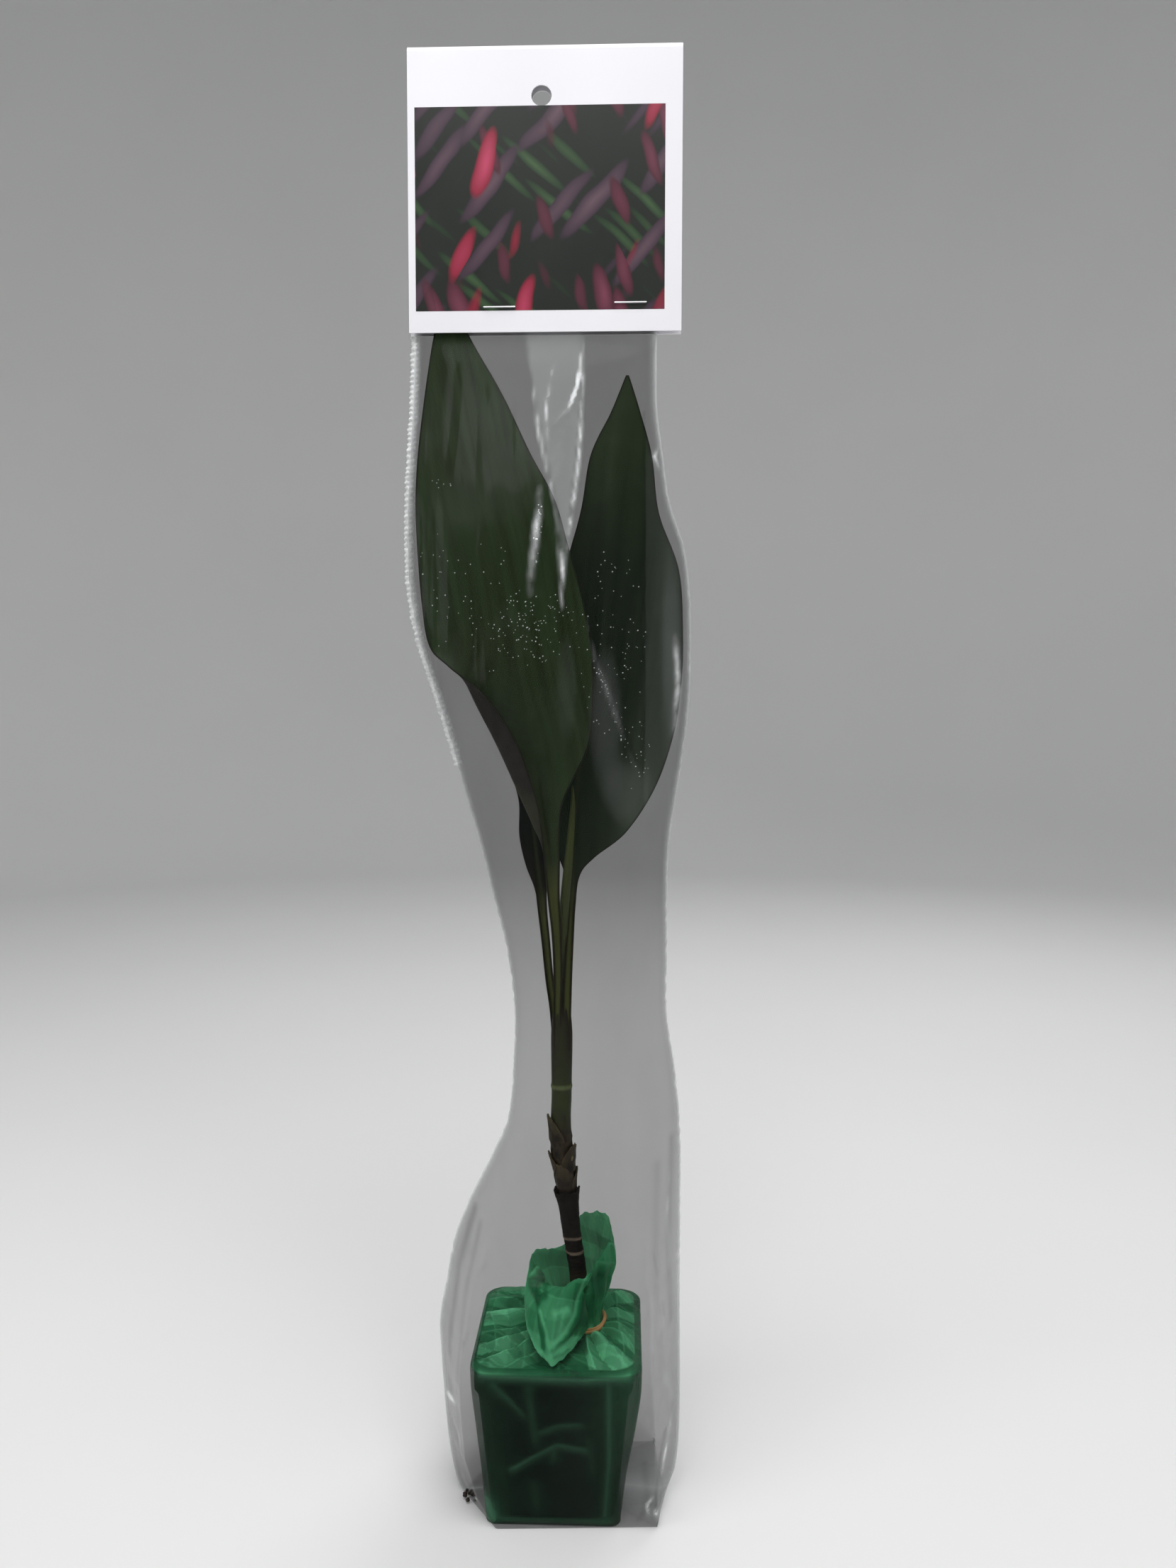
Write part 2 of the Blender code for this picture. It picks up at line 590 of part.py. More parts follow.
def make_wrap():
    """The green film: under the pot, up its sides, pleated to the neck and flared."""
    # Half width, height, corner radius, and how far the film stands off on the right.
    sides = [
        (20.0, WRAP_FLOOR, 6.0, 0.0),
        (POT_BASE_HALF, WRAP_FLOOR, 7.0, 0.0),
        (POT_BASE_HALF + 0.7, WRAP_FLOOR + 1.4, 7.0, 0.0),
        (28.6, 20.0, 6.0, 0.8),
        (30.4, 38.0, 5.5, 2.0),
        (POT_RIM_HALF + 0.4, POT_SHOULDER_Z - 1.0, 6.5, 2.6),
        (POT_RIM_HALF + 0.4, POT_RIM_Z - 0.4, 7.5, 2.4),
        (POT_RIM_HALF - 0.3, POT_RIM_Z + 0.6, 8.0, 2.0),
    ]
    tops = [0.3, 0.6, 0.85, 1.0]
    flares = [0.0, 0.12, 0.3, 0.5, 0.7, 0.86, 1.0]
    along = 1 + len(sides) + len(tops) + len(flares) - 1

    def point(i, j):
        if j == 0:
            return 0.0, 0.0, WRAP_FLOOR
        angle = ring_angle(i, WRAP_AROUND)
        if j <= len(sides):
            half, z, corner, loose = sides[j - 1]
            x, y, z = square_point(i, WRAP_AROUND, half, corner, z)
            return x + loose * max(x / half, 0.0) ** 2, y, z
        j -= len(sides) + 1
        if j < len(tops):
            share = tops[j]
            half, rim_z, corner, loose = sides[-1]
            rim_x, rim_y, rim_z = square_point(i, WRAP_AROUND, half, corner, rim_z + 0.2)
            rim_x += loose * max(rim_x / half, 0.0) ** 2
            reach = NECK_RADIUS + pleat(angle, 0.35)
            x = rim_x + (NECK_X + reach * math.cos(angle) - rim_x) * share
            y = rim_y + (reach * math.sin(angle) - rim_y) * share
            z = rim_z + (NECK_Z - 2.4 - rim_z) * share
            z += (pleat(angle, 1.0) + 0.7) * math.sin(math.pi * share)
            return x, y, z
        j -= len(tops)
        return flare_point(angle, flares[j])

    wrap = formed_grid("green_wrap", WRAP_AROUND, along, point)
    solidify(wrap, FILM, 1.0)
    wrap.data.materials.append(new_material("green_film", (0.05, 0.42, 0.2), 0.3))
    return wrap


def make_band():
    bpy.ops.mesh.primitive_torus_add(
        major_segments=28,
        minor_segments=8,
        major_radius=(NECK_RADIUS + 0.35 + FILM + GAP + BAND_THICKNESS / 2.0 + 0.15) * MM,
        minor_radius=BAND_THICKNESS / 2.0 * MM,
        location=(NECK_X * MM, 0.0, NECK_Z * MM),
    )
    band = file_in(bpy.context.object, "rubber_band", PARTS)
    band.data.materials.append(new_material("band_rubber", (0.55, 0.33, 0.12), 0.6))
    return band


def sleeve_profile(across, boxed, corner):
    """How deep a section stands at a place between its seams, from 0 to 1."""
    round_part = math.sqrt(max(1.0 - across**2, 0.0))
    box_part = min(1.0, (1.0 - abs(across)) / (1.0 - corner))
    return round_part + (box_part - round_part) * boxed


def sleeve_point(i, row):
    z, left_x, left_y, right_x, right_y, front, back, boxed, corner = row
    turn = 2.0 * math.pi * (i % SLEEVE_AROUND) / SLEEVE_AROUND
    across = math.cos(turn)
    depth = -back if turn < math.pi else front
    x = (left_x + right_x) / 2.0 + (right_x - left_x) / 2.0 * across
    seam_y = (left_y + right_y) / 2.0 + (right_y - left_y) / 2.0 * across
    return x, seam_y - depth * sleeve_profile(across, boxed, corner), z


def make_sleeve():
    """The clear bag: flat under the pot, flat again between the card's panels."""

    def point(i, j):
        if j == 0:
            return 0.0, 0.0, 0.0
        return sleeve_point(i, SLEEVE[j - 1])

    sleeve = formed_grid("clear_sleeve", SLEEVE_AROUND, len(SLEEVE), point)
    solidify(sleeve, FILM, -1.0)
    sleeve.data.materials.append(new_material("clear_film", (0.8, 0.82, 0.84), 0.15))
    return sleeve


def make_card():
    """One sheet folded over the sleeve's top, its panels CARD_SLOT apart."""
    turn_radius = CARD_SLOT / 2.0
    fold_z = CARD_TOP - CARD_THICKNESS - turn_radius
    steps = 8
    path = [(-turn_radius, CARD_BOTTOM), (-turn_radius, (CARD_BOTTOM + fold_z) / 2.0)]
    for step in range(steps + 1):
        angle = math.pi * step / steps
        path.append((-turn_radius * math.cos(angle), fold_z + turn_radius * math.sin(angle)))
    path += [(turn_radius, (CARD_BOTTOM + fold_z) / 2.0), (turn_radius, CARD_BOTTOM)]

    def point(i, j):
        y, z = path[j]
        return CARD_X + (i / 2.0 - 0.5) * CARD_WIDTH, PACK_Y + y, z

    card = formed_grid("header_card", 2, len(path) - 1, point)
    outward = card.data.polygons[0].normal.y
    solidify(card, CARD_THICKNESS, 1.0 if outward < 0.0 else -1.0)
    hole = cutter_cylinder(
        "hang_hole",
        HANG_HOLE_RADIUS,
        (HANG_HOLE[0], PACK_Y - 8.0, HANG_HOLE[1]),
        (HANG_HOLE[0], PACK_Y + 8.0, HANG_HOLE[1]),
        32,
    )
    boolean(card, hole, "DIFFERENCE")
    card.data.materials.append(new_material("coated_card", (0.75, 0.74, 0.78), 0.4))
    return card


def make_staple(name, x, z, wire_material):
    """A closed staple: crown in front of the card, legs through it, ends turned in."""
    wire = STAPLE_WIRE / 2.0
    leg = STAPLE_WIDTH / 2.0 - wire
    face = CARD_SLOT / 2.0 + CARD_THICKNESS + GAP + wire
    turned = 1.2
    points = [
        (x - turned, PACK_Y + face, z),
        (x - leg, PACK_Y + face, z),
        (x - leg, PACK_Y - face, z),
        (x + leg, PACK_Y - face, z),
        (x + leg, PACK_Y + face, z),
        (x + turned, PACK_Y + face, z),
    ]
    staple = bent_wire(name, points, [wire] * len(points), 8)
    staple.data.materials.append(wire_material)
    return staple


clear_scene()
PARTS = new_collection("packaged_ti_plant")
CUTTERS = new_collection("cutters", helper=True)

make_pot()
make_soil()
make_cane()
make_shoot()
LEAF_GREEN = new_material("mature_leaf", (0.035, 0.055, 0.028), 0.4)
make_leaf("leaf_front", LEAF_FRONT, 34, LEAF_GREEN)
make_leaf("leaf_right", LEAF_RIGHT, 30, LEAF_GREEN)
make_leaf("leaf_back", LEAF_BACK, 26, LEAF_GREEN)
make_spear()
make_wrap()
make_band()
SLEEVE_OBJECT = make_sleeve()
CARD_OBJECT = make_card()
STEEL = new_material("staple_wire", (0.6, 0.6, 0.62), 0.3, 1.0)
for STAPLE_NAME, (STAPLE_X, STAPLE_Z) in STAPLES.items():
    make_staple(STAPLE_NAME, STAPLE_X, STAPLE_Z, STEEL)
    for SIDE in (-1.0, 1.0):
        LEG_X = STAPLE_X + SIDE * (STAPLE_WIDTH - STAPLE_WIRE) / 2.0
        LEG_HOLE = cutter_cylinder(
            f"{STAPLE_NAME}_leg_hole_{SIDE:+.0f}",
            STAPLE_HOLE_RADIUS,
            (LEG_X, PACK_Y - 8.0, STAPLE_Z),
            (LEG_X, PACK_Y + 8.0, STAPLE_Z),
            12,
        )
        # The exact solver leaves a sliver open in the film's long thin triangles.
        boolean(SLEEVE_OBJECT, LEG_HOLE, "DIFFERENCE", "MANIFOLD")
        boolean(CARD_OBJECT, LEG_HOLE, "DIFFERENCE")
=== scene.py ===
import bmesh
import bpy
import numpy as np
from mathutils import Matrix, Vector, noise


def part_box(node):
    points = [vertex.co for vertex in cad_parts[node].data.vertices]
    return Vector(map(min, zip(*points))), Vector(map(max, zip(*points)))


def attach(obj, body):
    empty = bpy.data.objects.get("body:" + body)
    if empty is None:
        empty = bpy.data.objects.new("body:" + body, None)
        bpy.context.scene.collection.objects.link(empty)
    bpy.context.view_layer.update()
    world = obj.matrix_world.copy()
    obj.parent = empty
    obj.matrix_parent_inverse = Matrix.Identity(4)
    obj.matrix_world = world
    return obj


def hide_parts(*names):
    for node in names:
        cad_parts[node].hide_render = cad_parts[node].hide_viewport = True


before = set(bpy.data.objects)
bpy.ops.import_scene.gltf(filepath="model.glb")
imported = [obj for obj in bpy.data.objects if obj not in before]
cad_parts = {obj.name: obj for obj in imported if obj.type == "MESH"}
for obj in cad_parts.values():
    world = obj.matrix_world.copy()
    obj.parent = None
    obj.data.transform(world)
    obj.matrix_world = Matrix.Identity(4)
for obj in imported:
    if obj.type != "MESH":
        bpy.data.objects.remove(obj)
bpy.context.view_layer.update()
mm = 0.001
print("frame loaded")


# shader tools

class Wire:
    # an output socket whose sums and products add Math nodes
    def __init__(self, recipe, socket):
        self.recipe = recipe
        self.socket = socket

    def maths(self, operation, first, second):
        settings = {"operation": operation}
        return self.recipe.add("ShaderNodeMath", settings, {0: first, 1: second})

    def __add__(self, other):
        return self.maths("ADD", self, other)

    __radd__ = __add__

    def __sub__(self, other):
        return self.maths("SUBTRACT", self, other)

    def __rsub__(self, other):
        return self.maths("SUBTRACT", other, self)

    def __mul__(self, other):
        return self.maths("MULTIPLY", self, other)

    __rmul__ = __mul__

    def __truediv__(self, other):
        return self.maths("DIVIDE", self, other)

    def size(self):
        return self.maths("ABSOLUTE", self, 0.0)

    def wave(self):
        return self.maths("SINE", self, 0.0)

    def atLeast(self, other):
        return self.maths("MAXIMUM", self, other)

    def atMost(self, other):
        return self.maths("MINIMUM", self, other)

    def between(self, low, high):
        # 0 at low and 1 at high, clamped, either way round
        return ((self - low) / (high - low)).atLeast(0.0).atMost(1.0)


class Recipe:
    # one material and the nodes that make its finish
    def __init__(self, name, **plain):
        self.material = bpy.data.materials.new(name)
        self.material.use_nodes = True
        self.tree = self.material.node_tree
        self.shader = self.tree.nodes["Principled BSDF"]
        for socketName, value in plain.items():
            self.shader.inputs[socketName.replace("_", " ")].default_value = value
        self.places = self.add("ShaderNodeTexCoord", {}, {}, "Object")

    def add(self, kind, settings, inputs, output=0):
        node = self.tree.nodes.new(kind)
        for key, value in settings.items():
            setattr(node, key, value)
        for key, value in inputs.items():
            if isinstance(value, Wire):
                self.tree.links.new(value.socket, node.inputs[key])
            else:
                node.inputs[key].default_value = value
        return Wire(self, node.outputs[output])

    def feed(self, **links):
        for socketName, value in links.items():
            target = self.shader.inputs[socketName.replace("_", " ")]
            self.tree.links.new(value.socket, target)
        return self.material

    def noise(self, scale, detail=4.0, rough=0.5, stretch=(1.0, 1.0, 1.0)):
        spot = self.add(
            "ShaderNodeVectorMath", {"operation": "MULTIPLY"}, {0: self.places, 1: stretch}
        )
        inputs = {"Vector": spot, "Scale": scale, "Detail": detail, "Roughness": rough}
        return self.add("ShaderNodeTexNoise", {}, inputs)

    def read(self, name):
        return self.add("ShaderNodeAttribute", {"attribute_name": name}, {}, "Fac")

    def mix(self, factor, first, second):
        # sockets 0, 6 and 7 take the factor and the two colours, and output 2 gives the colour
        settings = {"data_type": "RGBA"}
        first = (*first, 1.0) if isinstance(first, tuple) else first
        second = (*second, 1.0) if isinstance(second, tuple) else second
        return self.add("ShaderNodeMix", settings, {0: factor, 6: first, 7: second}, 2)

    def paint(self, tone, *coats):
        # each coat is how much of it shows, and its colour
        for factor, colour in coats:
            tone = self.mix(factor, tone, colour)
        return tone

    def bump(self, height, strength, distance):
        inputs = {"Height": height, "Strength": strength, "Distance": distance}
        return self.add("ShaderNodeBump", {}, inputs)


# mesh tools

def pointGrid(x, y, z):
    return np.stack(np.broadcast_arrays(x, y, z), axis=-1)


def ringGrid(x, reach, turn, z):
    return pointGrid(x + reach * np.cos(turn), reach * np.sin(turn), z)


def fullTurn(count):
    return np.linspace(0, 2 * np.pi, count, endpoint=False)[None, :]


def ramp(value, low, high):
    # 0 at low and 1 at high, clamped, either way round
    return np.clip((value - low) / (high - low), 0, 1)


def smoothRows(rows, places):
    # a smooth curve through a table's rows, read at fractional row numbers
    table = np.array(rows, float)
    places = np.asarray(places, float)
    start = np.clip(places.astype(int), 0, len(table) - 2)
    part = (places - start)[:, None]
    before = table[np.maximum(start - 1, 0)]
    here = table[start]
    after = table[start + 1]
    beyond = table[np.minimum(start + 2, len(table) - 1)]
    bend = 2 * before - 5 * here + 4 * after - beyond
    turn = 3 * here - before - 3 * after + beyond
    return (2 * here + (after - before) * part + bend * part**2 + turn * part**3) / 2


def evenRows(rows, count):
    return smoothRows(rows, np.linspace(0, len(rows) - 1, count))


def rowsAtHeights(rows, heights):
    # the same curve read at heights, where the first column is the height
    places = np.interp(heights, [row[0] for row in rows], range(len(rows)))
    return smoothRows(rows, places)


def placed(name, data):
    thing = bpy.data.objects.new(name, data)
    bpy.context.scene.collection.objects.link(thing)
    return thing


def sheetPiece(name, grid, material, loop=False, under=None, thick=0.0, marks=None):
    # grid holds points in millimetres, as rows along and columns across
    along, across = grid.shape[:2]
    mesh = bpy.data.meshes.new(name)
    index = np.arange(along * across).reshape(along, across)
    right = np.roll(index, -1, axis=1)
    if not loop:
        index = index[:, :-1]
        right = right[:, :-1]
    faces = np.stack([index[:-1], right[:-1], right[1:], index[1:]], axis=-1)
    mesh.from_pydata((grid.reshape(-1, 3) * mm).tolist(), [], faces.reshape(-1, 4).tolist())
    for key, values in (marks or {}).items():
        values = np.broadcast_to(values, (along, across))
        layer = mesh.attributes.new(key, "FLOAT", "POINT")
        layer.data.foreach_set("value", np.ascontiguousarray(values, np.float32).ravel())
    mesh.shade_smooth()
    mesh.materials.append(material)
    piece = placed(name, mesh)
    if thick:
        body = piece.modifiers.new("Thickness", "SOLIDIFY")
        body.thickness = thick * mm
        body.offset = 0.0
        if under:
            mesh.materials.append(under)
            body.material_offset = 1
    return piece


def fractal(x, y, z, octaves=3):
    # smooth noise at many points, about -1 to 1
    flat = pointGrid(x, y, z).reshape(-1, 3)
    values = [noise.fractal(Vector(p), 1.0, 2.0, octaves) for p in flat]
    return np.array(values).reshape(np.broadcast(x, y, z).shape)


def creases(x, y, z):
    # flat facets that meet in sharp folds, 0 to about 1
    flat = pointGrid(x, y, z).reshape(-1, 3)
    values = []
    for p in flat:
        near = noise.voronoi(Vector(p))[0]
        values.append(near[1] - near[0])
    return np.array(values).reshape(np.broadcast(x, y, z).shape)


def pleats(x, y, z, size, seed):
    # planes meeting in sharp folds: height, each plane's painted light, and the crest lines
    draw = np.random.default_rng(seed)
    wide = size * 2.2
    bend = 0.25 * fractal(x / wide, y / wide, z / wide, 2)
    height = 0
    tone = 0
    crest = 0
    for i in range(3):
        way = draw.normal(size=3)
        way = way / np.linalg.norm(way)
        run = (x * way[0] + y * way[1] + z * way[2]) / (size * (0.8 + 0.35 * i))
        run = run + draw.random() + bend
        wave = np.abs((run % 1) * 2 - 1)
        height = height + wave / 3
        tone = tone + (run % 1 < 0.5) / 3
        crest = np.maximum(crest, ramp(wave, 0.93, 1))
    return height, tone, crest


def bump(angle, centre, width):
    # 1 at an angle in degrees, falling smoothly to 0 one width away
    away = np.abs((np.degrees(angle) - centre + 180.0) % 360.0 - 180.0) / width
    return 0.5 + 0.5 * np.cos(np.pi * np.minimum(away, 1.0))


def nearLine(x, z, points):
    # distance in millimetres from a bent line
    best = np.full(np.broadcast(x, z).shape, 1e3)
    for (startX, startZ), (endX, endZ) in zip(points, points[1:]):
        spanX = endX - startX
        spanZ = endZ - startZ
        part = ((x - startX) * spanX + (z - startZ) * spanZ) / (spanX**2 + spanZ**2)
        part = np.clip(part, 0, 1)
        away = np.hypot(x - startX - part * spanX, z - startZ - part * spanZ)
        best = np.minimum(best, away)
    return best


def softLine(x, z, points, width):
    # 1 on a bent line, fading over the width to either side
    return np.exp(-((nearLine(x, z, points) / width) ** 2))


def finishPiece(piece, slot, *nodes):
    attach(piece, "root")
    if nodes:
        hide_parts(*nodes)


# leaves: z, left x y, middle x y, right x y, left belly x y

leafFront = {
    "rows": [
        (184, -0.7, -2.6, 0.5, -2.6, 1.7, -2.6, 0, 0),
        (200, -1.0, -3.0, 0.5, -3.0, 2.0, -3.0, 0, 0),
        (212, -0.8, -3.3, 0.8, -3.3, 2.4, -3.3, 0, 0),
        (230, -1.4, -4.2, 0.5, -4.0, 2.2, -4.2, 0, 0),
        (248, -3.2, -4.9, -0.8, -4.5, 1.4, -4.9, -0.3, 0),
        (266, -4.8, -7.0, -3.0, -5.2, 1.6, -6.0, -1.5, 0),
        (276, -5.6, -9.5, -4.6, -6.2, 1.8, -7.2, -7.0, 0.4),
        (287, -7.4, -12.5, -6.3, -7.2, 3.5, -8.4, -13, 1),
        (308, -14, -17.5, -9, -9.5, 13.2, -11, -21.5, 3.2),
        (327, -26, -19, -13.6, -12.2, 15.2, -13, -22, 3),
        (339, -41, -17, -15.8, -13.6, 15.2, -13.6, -8, 1),
        (347, -48.6, -15.4, -17, -14, 14.6, -13.8, 0, 0.5),
        (364, -51.6, -14, -19.4, -14, 11.3, -13.6, 0, 1),
        (386, -53.6, -12, -23.6, -12.6, 5.2, -12.4, 0, 1),
        (404, -54.6, -9, -28, -10, -0.2, -10.2, 0, 1),
        (423, -54.2, -4.8, -32.4, -6, -10.2, -6, 0, 0.6),
        (446, -52.6, 1.2, -37.4, 0.4, -21, 0.8, 0, 0.3),
        (466, -50.2, 4.5, -41.8, 4.4, -32.4, 4.5, 0, 0),
        (478, -47.8, 5, -43.2, 5, -38.8, 5, 0, 0),
        (488, -44.8, 5, -44.2, 5, -43.6, 5, 0, 0),
    ],
    "petioleTop": 262,
    "ruffle": 0.5,
}
leafRight = {
    "rows": [
        (184, 2.9, -2.0, 4.1, -2.0, 5.3, -2.0, 0, 0),
        (200, 2.7, -2.2, 4.3, -2.2, 5.9, -2.2, 0, 0),
        (212, 3.0, -1.7, 4.6, -1.7, 6.2, -1.7, 0, 0),
        (228, 3.9, -0.7, 5.3, -0.7, 6.8, -0.7, 0, 0),
        (243, 4.6, 1.7, 6.0, 1.9, 7.5, 1.7, 0, 0),
        (255, 3.0, 4.2, 6.3, 3.9, 9.4, 4.4, 0, 0),
        (262, 0.6, 5.4, 6.5, 4.6, 15.4, 6.2, 0, 0.3),
        (272, -2.6, 6.4, 6.9, 5.2, 28, 8, 0, 0.6),
        (290, -6, 7.4, 8.1, 5.8, 39.8, 10, 0, 1),
        (311, -7, 7.6, 10.2, 6.4, 47.2, 12, 0, 1),
        (331, -6, 7.6, 13, 6.6, 50.4, 13, 0, 1),
        (352, -3, 7, 16, 6.2, 51.2, 14, 0, 1),
        (379, 3, 6.4, 18.9, 5.6, 49.4, 13.6, 0, 1),
        (402, 9.4, 5.6, 21.4, 5, 41, 11.4, 0, 0.8),
        (424, 13.4, 5, 24, 4.8, 38, 8.6, 0, 0.5),
        (441, 21.6, 4.8, 26.6, 4.6, 33.2, 6, 0, 0.2),
        (455, 27.4, 4.4, 28, 4.4, 28.6, 4.4, 0, 0),
    ],
    "petioleTop": 252,
    "ruffle": 0.4,
}
leafBack = {
    "rows": [
        (184, -1.4, 1.6, -0.2, 1.6, 1.0, 1.6, 0, 0),
        (200, -2.8, 1.9, -1.4, 1.9, 0.2, 1.9, 0, 0),
        (212, -4.6, 3.4, -3.1, 3.4, -1.6, 3.4, 0, 0),
        (228, -6.4, 5, -4.8, 5, -3.2, 5, 0, 0),
        (240, -8, 6.2, -6.2, 6.2, -4.4, 6.2, 0, 0),
        (249, -9.6, 7.4, -7.2, 7.2, -4.4, 7.6, 0, 0),
        (258, -13.2, 8.6, -8.4, 8.2, -3.2, 9.2, 0, 0),
        (270, -16, 9.8, -9.9, 9.4, -2, 11, 0, 0.4),
        (286, -16.6, 10.8, -11.7, 10.4, -1.2, 12.4, 0, 0.6),
        (306, -23.4, 10.6, -14.6, 10.8, -1, 13.4, 0, 0.8),
        (326, -29.5, 7, -17.2, 10.6, -1.2, 13.8, 0, 0.8),
        (346, -33.5, 6.8, -19.2, 10.8, -2.4, 13.8, 0, 0.8),
        (370, -34.5, 7.2, -20.6, 10.6, -5.4, 13.2, 0, 0.6),
        (395, -30.4, 9.4, -21.6, 10.4, -12.6, 12, 0, 0.3),
        (415, -23, 9.6, -22.4, 9.6, -21.8, 9.6, 0, 0),
    ],
    "petioleTop": 250,
    "ruffle": 0.4,
}
leafMesh = {
    "across": 56,
    "along": 300,
    "thick": 0.55,
    # how far the petiole and the midrib are hollowed, and the groove's half width
    "channel": 1.0,
    "groove": 0.5,
    "grooveWidth": 1.1,
    # the petiole opens into the blade over this height, and the tip narrows over this
    "opening": 14,
    "tip": 40,
}


def leafPiece(name, leaf, node, upper, lower):
    table = evenRows(leaf["rows"], leafMesh["along"])
    z, leftX, leftY, midX, midY, rightX, rightY, bellyX, bellyY = table.T[:, :, None]
    side = np.linspace(-1, 1, leafMesh["across"] + 1)[None, :]
    reach = np.abs(side)
    left = side < 0
    endX = np.where(left, leftX, rightX)
    endY = np.where(left, leftY, rightY)
    hump = 2 * reach * (1 - reach)
    x = midX + (endX - midX) * reach + np.where(left, bellyX, 0) * hump
    y = midY + (endY - midY) * reach + bellyY * hump
    petiole = np.clip((leaf["petioleTop"] - z) / leafMesh["opening"], 0, 1)
    y = y - leafMesh["channel"] * petiole * reach**2
    blade = 1 - petiole
    # the midrib lies in a shallow channel, deeper lower down
    width = np.abs(endX - midX)
    groove = np.exp(-((side * width / leafMesh["grooveWidth"]) ** 2))
    low = np.clip((380 - z) / 90, 0.25, 1)
    y = y + leafMesh["groove"] * groove * blade * low
    taper = np.clip((leaf["rows"][-1][0] - z) / leafMesh["tip"], 0, 1)
    ripple = fractal(side * 1.5, z / 26, 0)
    y = y + leaf["ruffle"] * ripple * reach**1.5 * blade * taper
    marks = {
        "height": z,
        "fromMiddle": side * width,
        "fromEdge": (1 - reach) * width,
        "blade": blade,
    }
    grid = pointGrid(x, y, z)
    piece = sheetPiece(name, grid, upper, under=lower, thick=leafMesh["thick"], marks=marks)
    finishPiece(piece, "mature_leaf", node)


leafFinish = {
    "front": ((0.018, 0.031, 0.010), (0.032, 0.058, 0.022)),
    "right": ((0.009, 0.018, 0.009), (0.020, 0.034, 0.017)),
    "back": ((0.001, 0.004, 0.002), (0.003, 0.007, 0.004)),
    "petiole": (0.075, 0.088, 0.026),
    "edge": (0.010, 0.004, 0.005),
    "rib": (0.034, 0.044, 0.017),
    # painted film haze: the clear film's sheen in front, painted onto the leaf
    "filmHaze": (0.066, 0.090, 0.058),
    "pale": (0.052, 0.078, 0.036),
    "olive": (0.030, 0.022, 0.010),
    "under": ((0.015, 0.0135, 0.012), (0.025, 0.022, 0.019)),
    "underVein": (0.042, 0.038, 0.033),
    "underRib": (0.055, 0.060, 0.028),
    "underPetiole": (0.042, 0.036, 0.020),
    # how many veins there are, and how steeply they leave the midrib
    "veinPitch": 1.7,
    "veinSlant": 2.1,
}


def leafVeins(height, fromMiddle, sway=0.0):
    # fine veins leave the midrib at a shallow angle and run out to the margin
    slant = height - fromMiddle.size() * leafFinish["veinSlant"]
    return (slant * leafFinish["veinPitch"] + sway).wave() * 0.5 + 0.5


def leafTop(name, dark, light, roughness, filmHazeFrom, paleFrom):
    r = Recipe(name, Roughness=roughness, Specular_IOR_Level=0.12)
    height = r.read("height")
    fromMiddle = r.read("fromMiddle")
    blade = r.read("blade")
    veins = leafVeins(height, fromMiddle, r.noise(30.0) * 3.0)
    # long soft streaks run the length of the blade
    spot = {0: fromMiddle * 0.30, 1: height * 0.016, 2: 0.0}
    along = r.add("ShaderNodeCombineXYZ", {}, spot)
    streaks = r.add("ShaderNodeTexNoise", {}, {"Vector": along, "Scale": 1.0, "Detail": 5.0})
    patches = r.noise(34.0, 3.0, 0.55, (1.0, 1.0, 0.55))
    rib = fromMiddle.size().between(1.3, 0.2)
    low = height.between(330.0, 280.0) * fromMiddle.between(8.0, 22.0)
    tone = r.paint(
        r.mix(streaks.between(0.34, 0.66), dark, light),
        # painted film haze in patches, in a band by one margin and low on that side
        (patches.between(0.52, 0.70) * 0.5, leafFinish["filmHaze"]),
        (fromMiddle.between(filmHazeFrom, filmHazeFrom + 3.0) * 0.35, leafFinish["filmHaze"]),
        (low * fromMiddle.between(filmHazeFrom - 12, filmHazeFrom) * 0.8, leafFinish["filmHaze"]),
        (height.between(paleFrom, paleFrom + 50.0) * 0.5, leafFinish["pale"]),
        (veins * 0.10, tuple(c * 1.6 for c in light)),
        (r.noise(14.0, 2.0).between(0.50, 0.70) * 0.35, leafFinish["olive"]),
        (rib * height.between(345.0, 262.0) * 0.75 * blade, leafFinish["rib"]),
        (1 - blade, leafFinish["petiole"]),
        (r.read("fromEdge").between(0.9, 0.2) * (0.85 - blade * 0.1), leafFinish["edge"]),
    )
    relief = veins * 0.06 + streaks * 1.2 - rib * 0.5 + r.noise(60.0) * 0.6
    shine = patches * 0.16 + roughness - 0.06
    normal = r.bump(relief, 0.35, 0.0004)
    return r.feed(Base_Color=tone, Roughness=shine, Normal=normal)


def leafUnder():
    r = Recipe("leafUnderside", Roughness=0.5, Specular_IOR_Level=0.2)
    fromMiddle = r.read("fromMiddle")
    veins = leafVeins(r.read("height"), fromMiddle)
    rib = fromMiddle.size().between(1.6, 0.4)
    tone = r.paint(
        r.mix(r.noise(50.0).between(0.3, 0.7), *leafFinish["under"]),
        (veins * 0.25, leafFinish["underVein"]),
        (rib * 0.7, leafFinish["underRib"]),
        (1 - r.read("blade"), leafFinish["underPetiole"]),
    )
    return r.feed(Base_Color=tone, Normal=r.bump(veins + rib * 2, 0.3, 0.0003))


under = leafUnder()
# piece, shape, node, then roughness and where the painted film haze and the pale tip begin
leaves = (
    ("frontLeaf", leafFront, "leaf_front", (*leafFinish["front"], 0.42, 60.0, 600.0)),
    ("rightLeaf", leafRight, "leaf_right", (*leafFinish["right"], 0.38, 19.0, 380.0)),
    ("backLeaf", leafBack, "leaf_back", (*leafFinish["back"], 0.45, 60.0, 600.0)),
)
for name, leaf, node, finish in leaves:
    leafPiece(name, leaf, node, leafTop(name + "Face", *finish), under)
print("leaves made")


# the rolled young leaf: z, x, y, radius

